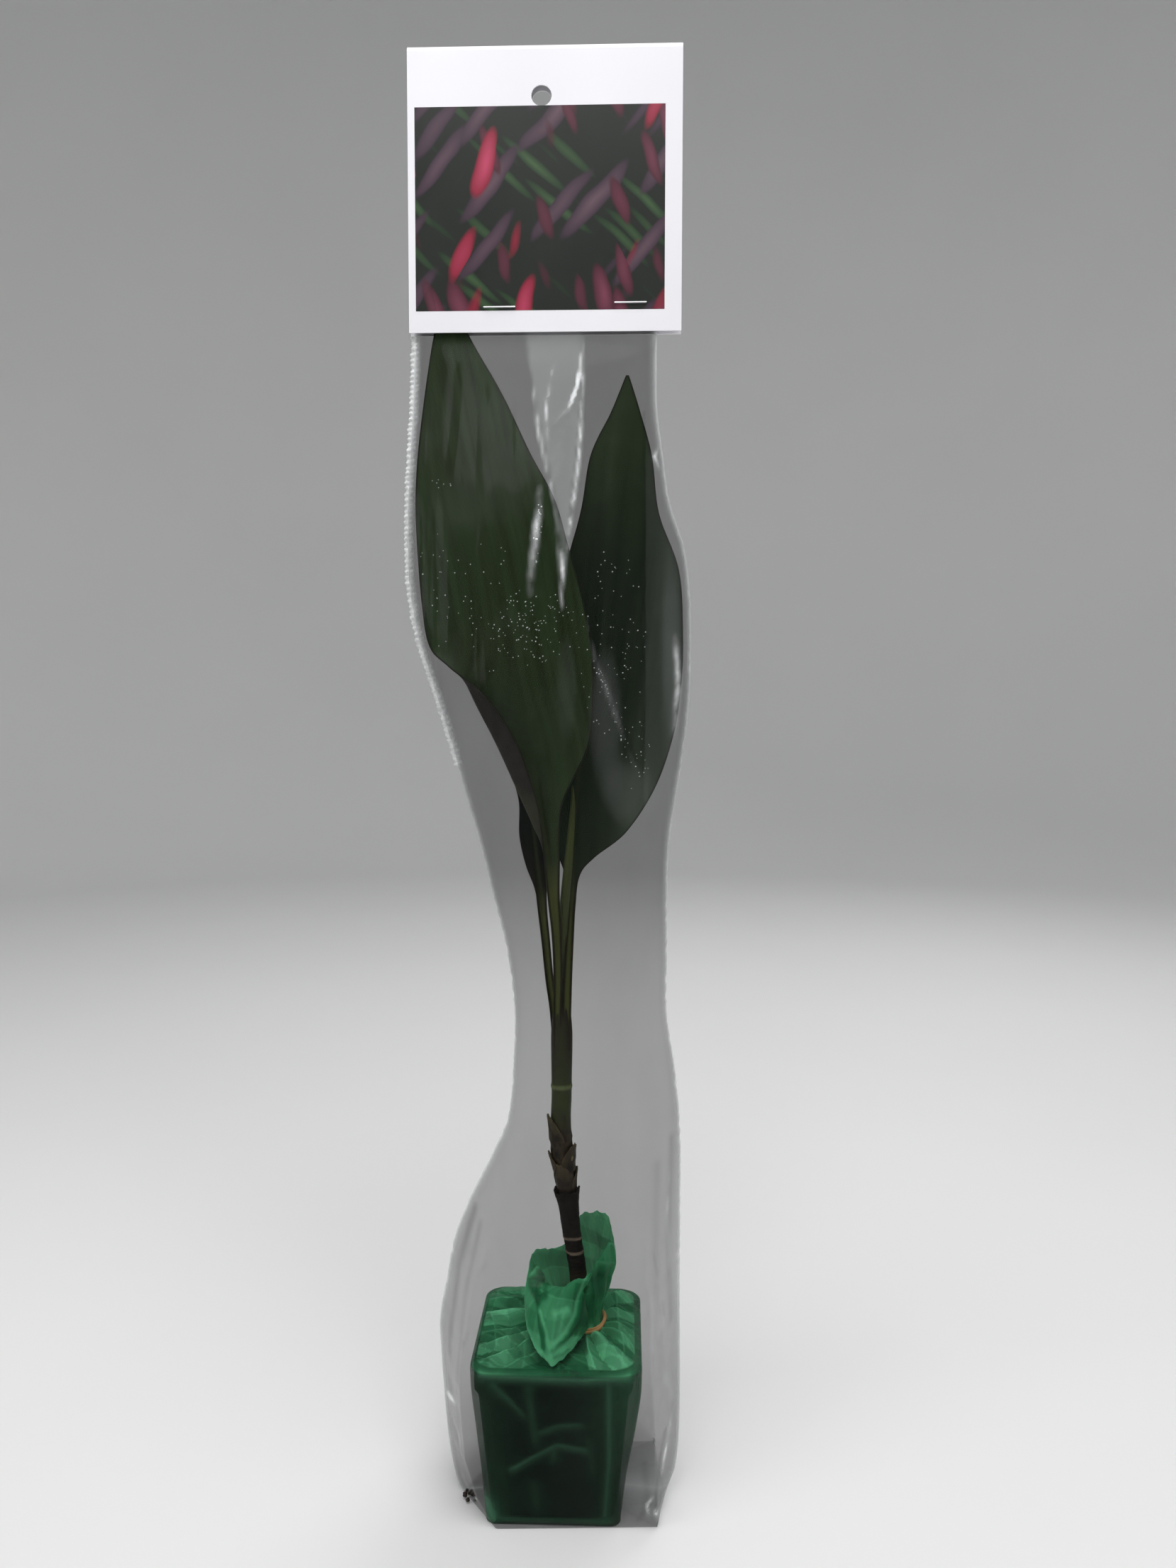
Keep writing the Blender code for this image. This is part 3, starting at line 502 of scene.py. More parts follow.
spear = {
    "along": 160,
    "around": 57,
    "rows": [
        (186, 3.4, 1.6, 1.2), (200, 3.4, 1.8, 1.3), (212, 2.7, 1.2, 1.4),
        (228, 2.3, -0.6, 1.6), (243, 3, -1.6, 1.8), (256, 4.2, -2.4, 1.7),
        (271, 5.6, -3, 1.4), (284, 6.6, -3.5, 0.9), (292, 6.6, -3.8, 0.15),
    ],
    # how far it winds on the way up, and how far the blade laps round
    "twist": 2.2,
    "laps": 1.35,
    "tones": ((0.036, 0.043, 0.012), (0.052, 0.070, 0.014)),
    "line": (0.085, 0.110, 0.035),
    "lap": (0.018, 0.024, 0.007),
    "blotch": (0.025, 0.034, 0.009),
}


def spearFinish():
    r = Recipe("youngLeaf", Roughness=0.42, Specular_IOR_Level=0.3)
    around = r.read("turn")
    lines = (around * 14.0).wave() * 0.5 + 0.5
    tone = r.paint(
        r.mix(r.read("height").between(205.0, 262.0), *spear["tones"]),
        (lines * 0.35, spear["line"]),
        (around.between(8.0, 8.45), spear["lap"]),
        (r.noise(160.0).between(0.5, 0.8) * 0.3, spear["blotch"]),
    )
    return r.feed(Base_Color=tone, Normal=r.bump(lines, 0.4, 0.0002))


def spearPiece():
    z, x, y, radius = evenRows(spear["rows"], spear["along"]).T[:, :, None]
    turn = np.linspace(0, 2 * np.pi * spear["laps"], spear["around"])[None, :]
    # the blade's free edge laps over itself and winds slowly up the roll
    lap = radius * (0.86 + 0.16 * turn / turn.max())
    foot, top = spear["rows"][0][0], spear["rows"][-1][0]
    phase = turn + (spear["twist"] * (z - foot) / (top - foot) + 3.9)
    keel = 1 + 0.10 * np.cos(phase)
    grid = pointGrid(x + lap * keel * np.cos(phase), y + lap * np.sin(phase), z)
    marks = {"height": z, "turn": turn}
    piece = sheetPiece("youngLeafRoll", grid, spearFinish(), thick=0.25, marks=marks)
    finishPiece(piece, "young_leaf", "spear_leaf")


spearPiece()


# green stem and its old leaf bases

stem = {
    "along": 260,
    "around": 64,
    # z, x, radius
    "rows": [
        (117, 4.5, 2.6), (124.6, 4.4, 3), (127, 4, 3.6), (131, 3.5, 3.8), (136, 3, 4.1),
        (141, 2.5, 4.3), (146, 2, 4.4), (152, 1.7, 4.2), (158, 1.8, 4.1), (163, 2, 4.1),
        (168, 2, 4.1), (176, 2, 4.2), (184, 2, 4.3), (192, 2, 4.2), (200, 2, 3.4),
        (207, 2.2, 2.2), (213, 2.4, 0.4),
    ],
    "baseAlong": 40,
    "baseAcross": 41,
    # each old base: where it faces in degrees, foot z, height, how far round, flare
    "bases": [
        (205, 146, 11, 85, 1.1),
        (330, 134, 11, 80, 1.3),
        (188, 129, 12, 85, 1.1),
        (255, 124, 13, 100, 0.7),
        (15, 123, 11, 85, 0.9),
        (95, 133, 16, 100, 1.2),
    ],
    "scar": 168.6,
    "green": ((0.026, 0.028, 0.011), (0.036, 0.050, 0.014)),
    "brown": ((0.012, 0.008, 0.005), (0.060, 0.044, 0.022)),
    "streak": (0.018, 0.010, 0.008),
    "foot": (0.022, 0.015, 0.011),
    "ring": (0.12, 0.15, 0.06),
    "grain": (0.012, 0.008, 0.006),
    "lip": (0.105, 0.080, 0.045),
}
# a pale dormant bud low on the front: centre, half sizes, tones
bud = {
    "along": 13,
    "around": 16,
    "place": (6.0, -3.2, 139.5),
    "size": (1.0, 0.9, 1.5),
    "tones": ((0.20, 0.16, 0.06), (0.10, 0.07, 0.03)),
}


def stemPiece(material):
    heights = np.linspace(stem["rows"][0][0], stem["rows"][-1][0], stem["along"])
    z, x, radius = rowsAtHeights(stem["rows"], heights).T[:, :, None]
    turn = fullTurn(stem["around"])
    ring = np.exp(-(((z - stem["scar"]) / 0.9) ** 2)) * 0.35
    knobs = fractal(np.cos(turn) * 2, np.sin(turn) * 2, z / 7)
    knobs = knobs * ramp(z, 156, 146)
    # three leaf bases still show as soft flutes in the green part
    flutes = 0.35 * np.cos(3 * turn + 1.0) * ramp(z, 160, 190)
    reach = radius + ring + 0.9 * knobs + flutes
    grid = ringGrid(x, reach, turn, z)
    marks = {"height": z, "turn": turn, "lip": 0.0}
    return sheetPiece("greenStem", grid, material, loop=True, marks=marks)


def oldBase(number, face, foot, tall, spread, flare, material):
    up = np.linspace(0, 1, stem["baseAlong"])[:, None]
    side = np.linspace(-1, 1, stem["baseAcross"])[None, :]
    z = foot + tall * up
    x, radius = rowsAtHeights(stem["rows"], z.ravel()).T[1:, :, None]
    # it narrows to a torn point that stands off the stem
    narrow = 1 - 0.75 * up**1.6
    turn = np.radians(face + side * spread * narrow)
    ragged = fractal(side * 3, number, 0) * 0.09
    z = foot + tall * (up * (1 + ragged) - 0.12 * side**2 * up)
    reach = radius + 0.25 + flare * up**2.2 + 0.25 * np.cos(side * np.pi / 2)
    reach = reach + 0.2 * fractal(side * 4, up * 3, number)
    grid = ringGrid(x, reach, turn, z)
    marks = {"height": z, "turn": turn, "lip": np.maximum(up**3, np.abs(side) ** 8)}
    return sheetPiece(f"oldLeafBase{number}", grid, material, thick=0.5, marks=marks)


def stemSkin():
    r = Recipe("stemSkin", Roughness=0.55, Specular_IOR_Level=0.25)
    height = r.read("height")
    around = r.read("turn")
    grain = r.noise(900.0, 3.0, 0.6, (1.0, 1.0, 0.12))
    blotch = r.noise(260.0, 4.0, 0.6)
    streaks = (around * 3.0 + height * 0.05).wave() * 0.5 + 0.5
    green = r.mix(height.between(200.0, 158.0), *stem["green"])
    green = r.mix(streaks * height.between(166.0, 186.0) * 0.8, green, stem["streak"])
    brown = r.mix(blotch.between(0.38, 0.66), *stem["brown"])
    tone = r.paint(
        green,
        ((height + blotch * 14.0).between(168.0, 156.0), brown),
        ((height + blotch * 8.0).between(136.0, 126.0), stem["foot"]),
        ((height - stem["scar"]).size().between(1.4, 0.3), stem["ring"]),
        (grain.between(0.45, 0.8) * 0.5, stem["grain"]),
        (r.read("lip") * 0.7, stem["lip"]),
    )
    return r.feed(Base_Color=tone, Normal=r.bump(grain + blotch, 0.6, 0.0005))


def budPiece():
    lift = np.linspace(0, np.pi, bud["along"])[:, None]
    turn = fullTurn(bud["around"])
    wide, deep, tall = bud["size"]
    grid = pointGrid(
        wide * np.sin(lift) * np.cos(turn),
        deep * np.sin(lift) * np.sin(turn),
        -tall * np.cos(lift),
    )
    r = Recipe("dormantBud", Roughness=0.5)
    finish = r.feed(Base_Color=r.mix(r.noise(700.0), *bud["tones"]))
    return sheetPiece("dormantBud", grid + bud["place"], finish, loop=True)


def stemGroup():
    skin = stemSkin()
    finishPiece(stemPiece(skin), "shoot_skin", "shoot")
    for number, base in enumerate(stem["bases"]):
        finishPiece(oldBase(number, *base, skin), "shoot_skin")
    finishPiece(budPiece(), "shoot_skin")


stemGroup()


# woody cane

cane = {
    "along": 330,
    "around": 72,
    # z, x, radius
    "rows": [
        (28, 10, 3.4), (31, 10, 4.2), (58, 10, 4.1), (72, 9.8, 3.7), (84, 9.2, 3.5),
        (92, 8.5, 3.5), (100, 7.3, 3.6), (107, 6.2, 3.7), (113, 5.5, 3.9), (119, 4.8, 4.3),
        (122.5, 4.5, 4.6), (125, 4.4, 4.5),
    ],
    "scars": (99.0, 105.0),
    "bark": ((0.004, 0.003, 0.003), (0.022, 0.016, 0.012)),
    "worn": (0.030, 0.022, 0.016),
    "scar": (0.19, 0.145, 0.11),
    "foot": (0.050, 0.034, 0.020),
}


def caneFinish():
    r = Recipe("caneBark", Roughness=0.75, Specular_IOR_Level=0.2)
    height = r.read("height")
    rough = r.noise(520.0, 5.0, 0.65, (1.0, 1.0, 1.8))
    broad = r.noise(170.0, 3.0)
    tone = r.mix(rough.between(0.32, 0.7), *cane["bark"])
    tone = r.mix(broad.between(0.55, 0.75) * 0.5, tone, cane["worn"])
    for scar in cane["scars"]:
        line = (height - scar - (broad - 0.5) * 2.4).size().between(0.75, 0.25)
        tone = r.mix(line * rough.between(0.25, 0.5), tone, cane["scar"])
    tone = r.mix(height.between(93.0, 88.0) * 0.7, tone, cane["foot"])
    return r.feed(Base_Color=tone, Normal=r.bump(rough * 2 + broad, 0.8, 0.0006))


def canePiece():
    heights = np.linspace(cane["rows"][0][0], cane["rows"][-1][0], cane["along"])
    z, x, radius = rowsAtHeights(cane["rows"], heights).T[:, :, None]
    turn = fullTurn(cane["around"])
    bark = fractal(np.cos(turn) * 3, np.sin(turn) * 3, z / 3.2, 4)
    ridges = fractal(np.cos(turn) * 1.2, np.sin(turn) * 1.2, z / 1.4)
    reach = radius + 0.22 * bark + 0.18 * ridges
    for scar in cane["scars"]:
        tilt = scar + 0.6 * np.cos(turn - 2.0)
        reach = reach + 0.28 * np.exp(-(((z - tilt) / 0.7) ** 2))
    # the old stem was cut here: its rim stands out, torn and uneven
    rim = ramp(z, 118, 125)
    reach = reach + rim**2 * (0.5 + 0.9 * bump(turn, 200, 60) + 0.5 * bump(turn, 330, 40))
    torn = fractal(np.cos(turn) * 2.5, np.sin(turn) * 2.5, 0)
    z = z + rim * (1.4 * torn + 1.6 * bump(turn, 345, 50))
    outer = ringGrid(x, reach, turn, z)
    centre = np.array([cane["rows"][-1][1], 0.0, 0.0])
    inner = centre + (outer[-1:] - centre) * [0.72, 0.72, 1] - [0, 0, 2.0]
    grid = np.concatenate([outer, inner], axis=0)
    shade = np.concatenate([z, z[-1:]], axis=0)
    piece = sheetPiece("woodyCane", grid, caneFinish(), loop=True, marks={"height": shade})
    finishPiece(piece, "cane_bark", "cane")


canePiece()
print("stem and cane made")


# pot and potting mix keep their solids

solidTones = {
    "pot": ((0.004, 0.007, 0.005), (0.008, 0.012, 0.010)),
    "mix": ((0.008, 0.006, 0.005), (0.052, 0.034, 0.022)),
    "grit": (0.30, 0.27, 0.22),
}


def potFinish():
    r = Recipe("potPlastic", Roughness=0.5, Specular_IOR_Level=0.05)
    grain = r.noise(900.0, 3.0)
    streak = r.noise(60.0, 3.0, 0.5, (1.0, 1.0, 0.2))
    tone = r.mix(streak.between(0.3, 0.7), *solidTones["pot"])
    normal = r.bump(grain, 0.2, 0.0002)
    return r.feed(Base_Color=tone, Roughness=streak * 0.2 + 0.4, Normal=normal)


def soilFinish():
    r = Recipe("pottingMix", Roughness=0.95)
    crumbs = r.add("ShaderNodeTexVoronoi", {}, {"Vector": r.places, "Scale": 420.0})
    fine = r.noise(700.0, 5.0, 0.7)
    tone = r.mix(crumbs.between(0.1, 0.6), *solidTones["mix"])
    tone = r.mix(fine.between(0.66, 0.75), tone, solidTones["grit"])
    return r.feed(Base_Color=tone, Normal=r.bump(crumbs * 2 + fine, 1.0, 0.0015))


def dressNode(node, material):
    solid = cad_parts[node]
    solid.data.materials.clear()
    solid.data.materials.append(material)


dressNode("pot", potFinish())
dressNode("soil", soilFinish())


# green film round the pot

wrap = {
    # points round, and rows up the sides, over the top and up the flare
    "around": 300,
    "rows": (130, 66, 112),
    "neckX": 9.3,
    "neckZ": 70.0,
    "neckRadius": 9.0,
    "swell": 0.22,
    # size and seed of the fine folds on top and in the flare
    "topPleats": (10, 5),
    "flarePleats": (12, 3),
    # half width, height, corner radius, stand-off on the right
    "sides": [
        (18, 1.2, 4, 0), (26.1, 1.2, 4, 0), (26.9, 2, 4.2, 0), (28.4, 20, 4.6, 0.8),
        (30.2, 38, 5, 2), (31.9, 53, 5.8, 2.6), (32.5, 61, 6.6, 2.5),
        (32.6, 64.6, 7.5, 2.4), (32.2, 65.9, 8, 2), (30.8, 66.4, 8, 1.6),
    ],
    # folds on top: degrees at the rim and at the neck, width before and after, height,
    # sharpness (over 1 has a flat crest) and the painted light level of the panels beside it
    "ridges": [
        (15, 30, 10, 6, 3, 1, 0.45),
        (40, 55, 8, 10, 4, 1, 0.55),
        (66, 80, 9, 9, 3, 1.6, 0.40),
        (95, 100, 12, 6, 3.6, 1, 0.50),
        (122, 118, 8, 12, 4.2, 1, 0.65),
        (148, 140, 9, 7, 3.4, 1.4, 0.45),
        (172, 172, 11, 9, 3.4, 2.6, 1.00),
        (193, 205, 5, 9, 2.6, 1, 0.35),
        (208, 222, 5, 8, 3.6, 1, 0.85),
        (224, 240, 4, 9, 4, 1, 0.75),
        (238, 262, 7, 10, 2, 1.5, 0.50),
        (268, 275, 12, 10, 0.6, 1, 0.10),
        (298, 290, 3, 9, 2.4, 1, 0.60),
        (314, 308, 8, 8, 4, 1.6, 0.95),
        (333, 330, 5, 12, 4.4, 1, 0.60),
        (352, 350, 9, 5, 3, 1, 0.50),
    ],
    # painted highlights on the pot's front creases: x and z at points along, width, strength
    "pullHighlights": [
        ([(-23, 61), (-17, 55), (-11, 48)], 0.7, 0.4),
        ([(-9, 61), (-8, 49), (-6.5, 37)], 1.2, 0.28),
        ([(-5.5, 40.5), (3, 44), (11, 44.5)], 0.7, 0.45),
        ([(-16, 24.5), (-6.5, 30.5), (2, 35.5), (13, 33.5)], 0.7, 0.55),
        ([(1, 35), (0.5, 30)], 1.0, 0.35),
        ([(-7.5, 18), (-6, 8)], 1.6, 0.22),
        ([(14, 38), (16, 24)], 0.8, 0.18),
        ([(-28, 64.9), (-10, 64.0), (12, 63.6), (30, 64.9)], 0.8, 0.9),
        ([(22, 62), (22.4, 30), (20.5, 3)], 0.7, 0.4),
        ([(-26.5, 10), (-24, 3)], 2.2, 0.9),
        ([(-24, 2.6), (22, 2.6)], 0.7, 0.4),
    ],
    # folds in the flare, the same way; below zero is a furrow
    # each fold is also painted lighter as a highlight, each furrow darker as painted shade
    "folds": [
        ([(-7, 90), (-4.5, 82), (-3.5, 75), (-3, 66)], 1.0, -1.1),
        ([(-5.6, 86), (-3, 80), (-1.8, 75)], 0.8, 0.6),
        ([(-10.5, 91), (-4, 92.5), (3, 94), (7.5, 96)], 0.7, 0.7),
        ([(-10.5, 89), (-6, 88), (-3.3, 90)], 1.0, -1.0),
        ([(-1, 75), (4.5, 78.5), (8, 83), (10, 89), (14, 98.5)], 0.9, 0.7),
        ([(0.5, 73.5), (6, 76.5), (10, 81.5), (12, 88)], 1.1, -1.1),
        ([(13, 78), (17, 84), (18.5, 91)], 4.2, -1.2),
        ([(-5, 85), (-3.6, 82)], 0.7, 0.9),
        ([(0.5, 86), (5, 86.4)], 1.1, 0.7),
        ([(1.5, 73.3), (8, 74.5)], 1.2, 0.8),
        ([(1, 71), (7.5, 71.8)], 0.8, -0.7),
        ([(-4, 72.3), (0.3, 65.6)], 0.8, 0.9),
        ([(1, 66.2), (6, 69.8), (10.6, 76.4)], 0.7, 0.6),
        ([(11.3, 95.3), (16, 101), (21.5, 107.7)], 0.9, 0.9),
        ([(13, 94.8), (17.5, 100.4), (23, 107)], 0.9, -0.9),
        ([(4, 100), (9, 103)], 1.6, -0.8),
    ],
}
greenTones = {
    "dark": (0.006, 0.075, 0.028),
    "soft": (0.022, 0.20, 0.078),
    "lit": (0.22, 0.82, 0.42),
    "flare": (0.035, 0.30, 0.11),
    # painted shade where the film lies on the black pot, painted light where it hangs free
    "shadedOnPot": (0.001, 0.016, 0.006),
    "free": (0.040, 0.150, 0.072),
    # painted highlight on the pulls
    "pull": (0.12, 0.38, 0.21),
}


def squareReach(angle, half, corner):
    run = np.abs(np.cos(angle))
    rise = np.abs(np.sin(angle))
    longer = np.maximum(run, rise)
    inner = half - corner
    arc = inner * (run + rise)
    rounded = arc + np.sqrt(np.maximum(arc**2 - 2 * inner**2 + corner**2, 0))
    return np.where(half * np.minimum(run, rise) / longer <= inner, half / longer, rounded)


# the film above the neck: angle in degrees, then x y z of its crest and of its rim
flare = [
    (0, 27, -0.5, 90, 24.3, -1.5, 101),
    (20, 26, 3, 92, 22.4, 2, 109),
    (40, 20.5, 7, 94, 19.8, 3.5, 113),
    (65, 14.5, 9.5, 94, 14, 6, 112.5),
    (88, 9.5, 10.5, 92, 9.5, 8, 110),
    (112, 4.5, 10, 88, 3.5, 9, 98),
    (140, -2, 8.5, 88, -3, 8.5, 95.5),
    (165, -6, 4, 88, -8.5, 4, 97),
    (185, -7.5, -1, 88, -11, -2, 95),
    (205, -10, -7, 93, -12.3, -10, 86),
    (222, -8.5, -13, 99, -11, -20, 78),
    (238, -4.5, -18.5, 103, -6, -27.5, 71.5),
    (245, -2, -20.5, 104, -3.1, -29.3, 70),
    (251, 0.5, -22, 105, -0.2, -31.6, 67.9),
    (256, 2.2, -21.6, 105, 2.9, -29.2, 69),
    (262, 4, -21, 106, 6, -26.5, 70),
    (272, 7, -19.5, 106, 10.5, -19.5, 72.5),
    (280, 10, -17.5, 105, 13.4, -14.5, 75.5),
    (286, 8.5, -15.5, 104, 7, -16.5, 81),
    (292, 11, -13.5, 101, 9.5, -14, 86),
    (299, 14, -11.5, 96, 15, -10.5, 95),
    (312, 16, -10, 88, 15.5, -9, 97.5),
    (328, 19.5, -8, 88, 18, -7.5, 100),
    (344, 24.5, -4.5, 89, 22.3, -4, 105),
]


def flareGrid(angle, share, gather):
    before = [(row[0] - 360, *row[1:]) for row in flare[-2:]]
    after = [(row[0] + 360, *row[1:]) for row in flare[:2]]
    rows = before + flare + after
    turned = np.degrees(angle[0]) % 360
    places = np.interp(turned, [row[0] for row in rows], range(len(rows)))
    table = smoothRows(rows, places)
    crest = table[:, 1:4]
    rim = table[:, 4:7]
    out = pointGrid(np.cos(angle[0]), np.sin(angle[0]), 0)
    centre = np.array([wrap["neckX"], 0, wrap["neckZ"] + 1.5])
    neck = centre + out * (wrap["neckRadius"] + gather[0])[:, None]
    rise = pointGrid(0, 0, 0.7 * (crest[:, 2] - centre[2]))
    start = centre + out * wrap["neckRadius"] * 1.15 + rise
    share = share[:, :, None]
    rest = 1 - share
    low = rest**3 * neck + 3 * share * rest**2 * start
    return low + 3 * share**2 * rest * crest + share**3 * rim


def pushOut(grid, amount):
    # moves a looped grid's points along its normals
    across = np.roll(grid, -1, axis=1) - np.roll(grid, 1, axis=1)
    normal = np.cross(across, np.gradient(grid, axis=0))
    normal /= np.linalg.norm(normal, axis=-1, keepdims=True) + 1e-9
    return grid + normal * amount[:, :, None]


def wrapSides(angle):
    # from under the pot up to its rim: points, lit creases, how free it hangs, the rim's reach
    # the rows are spread evenly along the profile
    steps = np.diff(np.array(wrap["sides"])[:, :2], axis=0)
    runs = np.append(0, np.cumsum(np.hypot(*steps.T)))
    even = np.linspace(0, runs[-1], wrap["rows"][0])
    places = np.interp(even, runs, range(len(runs)))
    half, z, corner, loose = smoothRows(wrap["sides"], places).T[:, :, None]
    reach = squareReach(angle, half, corner)
    x = reach * np.cos(angle)
    y = reach * np.sin(angle)
    standOff = loose * np.maximum(x / half, 0) ** 2
    x = x + standOff
    swell = fractal(x / 15, y / 15, z / 30) * np.sin(np.pi * ramp(z, 3, 63))
    swell = 1 + wrap["swell"] * swell / 32
    x = x * swell
    y = y * swell
    lit = 0
    for points, width, strength in wrap["pullHighlights"]:
        # a painted highlight is sharp above and fades softly below
        line = 0.6 * softLine(x, z, points, width)
        line = line + 0.5 * softLine(x, z + 1.2 * width, points, 2.4 * width)
        lit = np.maximum(lit, line * (y < -20) * strength)
    free = np.maximum(0.35 * np.abs(np.sin(2 * angle)) ** 6, ramp(standOff, 0, 2.4))
    return pointGrid(x, y, z), lit, free, reach[-1:]


def wrapTop(angle, gather, rim, reach):
    # sharp folds run from the rim to the neck, with a flat panel on one side of each
    share = np.linspace(0, 1, wrap["rows"][1])[1:, None]
    neck = wrap["neckRadius"] + gather
    neckX = wrap["neckX"] + neck * np.cos(angle)
    rimX, rimY, rimZ = np.moveaxis(rim, -1, 0)
    x = rimX + (neckX - rimX) * share
    y = rimY + (neck * np.sin(angle) - rimY) * share
    z = rimZ + (wrap["neckZ"] - 1.5 - rimZ) * share
    # each panel gets a painted light level, lighter on one side of its ridge and near it
    ridge = 0
    panelLight = 0.15
    for start, end, before, after, height, sharp, shade in wrap["ridges"]:
        middle = start + (end - start) * share
        away = (np.degrees(angle) - middle + 180) % 360 - 180
        slope = np.where(away < 0, 1 + away / before, 1 - away / after)
        rise = height * np.clip(slope * sharp, 0, 1)
        panelLight = np.where(rise > ridge, shade * np.where(away < 0, 1.0, 0.7), panelLight)
        panelLight = np.where(np.abs(away) * reach < 25, np.maximum(panelLight, shade + 0.15), panelLight)
        ridge = np.maximum(ridge, rise)
    small, smallFacetLight, smallCrestLight = pleats(x, y, 0, *wrap["topPleats"])
    z = z + np.sin(np.pi * share) ** 0.7 * (ridge + 3.0 * small - 1.6)
    return pointGrid(x, y, z), panelLight * (0.45 + 0.7 * smallFacetLight) + 0.25 * smallCrestLight - 0.05


def wrapFlare(angle, gather):
    share = np.linspace(0, 1, wrap["rows"][2])[:, None]
    funnel = flareGrid(angle, share, gather)
    x, y, z = np.moveaxis(funnel, -1, 0)
    height, facetLight, crest = pleats(x, y, z, *wrap["flarePleats"])
    folds = fractal(x / 8, y / 8, z / 20)
    # long folds fan out from the neck
    fan = (np.degrees(angle) / 24 + 0.35 * np.sin(2 * angle) + 0.4 * share) % 1
    fanned = np.abs(fan * 2 - 1)
    push = 3.2 * (height - 0.5) + 1.2 * (fanned - 0.5) + 0.4 * folds
    laid = 0
    for points, width, strength in wrap["folds"]:
        laid = laid + strength * softLine(x, z, points, width)
    laid = laid * ramp(y, 3, -1)
    funnel = pushOut(funnel, share**0.8 * (1 - 0.8 * share**6) * (push + 1.2 * laid))
    funnel[:, :, 2] += 0.9 * share**8 * fractal(x / 2.5, y / 2.5, z / 2.5)
    # and painted highlights and shade along the laid folds
    # painted light: lit facets, highlights on crests and on the fan's folds,
    lit = 0.5 * facetLight + 0.3 * crest + 0.12 * (fan < 0.5) + 0.1 * (fanned > 0.94) + laid
    # painted light: a lighter rim, a lighter far side as if lit through, and a lighter lobe
    # tip
    lit = lit + 0.4 * ramp(share, 0.96, 0.99)
    lit = lit + 0.35 * bump(angle, 60, 90) + 0.4 * bump(angle, 250, 25) * share**3
    return funnel, lit


def greenFilm():
    r = Recipe("greenFilm", Roughness=0.3, Specular_IOR_Level=0.08)
    zone = r.read("zone")
    cloud = r.noise(70.0, 4.0, 0.6)
    crinkle = r.noise(260.0, 5.0, 0.7, (1.0, 1.0, 0.6))
    lines = r.noise(34.0, 2.0, 0.5, (1.0, 1.0, 1.6))
    gleam = (lines - 0.5).size().between(0.018, 0.002)
    lifted = zone.between(0.02, 0.3)
    flared = zone.between(1.2, 1.9)
    onSides = 1 - lifted
    # the crease mark holds painted light: highlights above zero, painted shade below
    foldShade = r.read("crease").between(0.0, -0.9)
    foldHighlight = r.read("crease").atLeast(0.0)
    free = r.read("free")
    # painted shade makes the film near black on the pot; painted light where it hangs free
    tone = r.paint(
        r.mix(cloud.between(0.3, 0.7), greenTones["dark"], greenTones["soft"]),
        (foldHighlight * lifted * 0.75, greenTones["lit"]),
        (flared * 0.35, greenTones["flare"]),
        (foldShade * 0.8, greenTones["dark"]),
        (onSides, greenTones["shadedOnPot"]),
        (free * onSides * 0.8, greenTones["free"]),
        (foldHighlight * onSides * 0.8, greenTones["pull"]),
        (gleam * onSides * 0.2, greenTones["free"]),
    )
    alpha = 0.45 + lifted * 0.37 + flared * 0.12 + foldHighlight * 0.2 + free * onSides * 0.35
    return r.feed(
        Base_Color=tone,
        Alpha=(alpha + (cloud - 0.5) * 0.15).atMost(0.97),
        Roughness=cloud * 0.2 + 0.2,
        Normal=r.bump(crinkle * 1.5 + cloud, 0.5, 0.0008),
    )


def wrapPiece():
    angle = fullTurn(wrap["around"])
    angle = angle - 0.35 * np.cos(angle) + 0.06 * np.sin(4 * angle)
    gather = 0.35 * np.cos(14 * angle) + 0.25 * np.cos(23 * angle + 1)
    sides, sidesLit, free, reach = wrapSides(angle)
    top, topLit = wrapTop(angle, gather, sides[-1:], reach)
    funnel, funnelLit = wrapFlare(angle, gather)
    grid = np.concatenate([sides, top, funnel], axis=0)
    rolled = 0.3 * ramp(sides[:, 0, 2], 63.8, 65.3)
    # up to 0.3 on the pot, 1 at the neck and 2 in the flare
    zones = (rolled, np.linspace(0.3, 1, len(top)), [2.0] * len(funnel))
    lit = np.concatenate([sidesLit, topLit, funnelLit], axis=0)
    marks = {
        "zone": np.concatenate(zones)[:, None],
        # crease holds painted light: highlights above zero, painted shade in furrows below
        "crease": np.clip(lit, -1, 1),
        "free": np.concatenate([free, np.ones_like(topLit), np.ones_like(funnelLit)], axis=0),
    }
    piece = sheetPiece("greenPotFilm", grid, greenFilm(), loop=True, marks=marks)
    finishPiece(piece, "green_film", "green_wrap")


wrapPiece()


# rubber band, wound twice round the neck

band = {
    "along": 240,
    "around": 14,
    "radius": 10.6,
    "wire": 0.75,
    "turns": 2,
    "tones": ((0.42, 0.20, 0.055), (0.58, 0.33, 0.12)),
}


def bandPiece():
    # one angle that runs on through both turns
    along = band["turns"] * fullTurn(band["along"]).T
    around = fullTurn(band["around"])
    lift = wrap["neckZ"] + 0.75 * np.sin(along / band["turns"]) + 0.3 * np.sin(3 * along)
    reach = band["radius"] + 0.25 * np.cos(along / band["turns"]) + 0.2 * np.sin(5 * along)
    spread = band["wire"] * (1 + 0.12 * np.sin(7 * along))
    ring = reach + spread * 0.7 * np.cos(around)
    x = wrap["neckX"] + ring * np.cos(along)
    grid = pointGrid(x, ring * np.sin(along), lift + spread * np.sin(around))
    grid = np.concatenate([grid, grid[:1]], axis=0)
    r = Recipe("bandRubber", Roughness=0.55)
    tone = r.mix(r.noise(300.0).between(0.3, 0.7), *band["tones"])
    finish = r.feed(Base_Color=tone, Normal=r.bump(r.noise(900.0), 0.3, 0.0002))
    piece = sheetPiece("neckBand", grid, finish, loop=True)
    finishPiece(piece, "band_rubber", "rubber_band")


bandPiece()
print("wrap made")


# clear sleeve: z, left x, seam y, right x, seam y, depths front and back, boxed, box corner

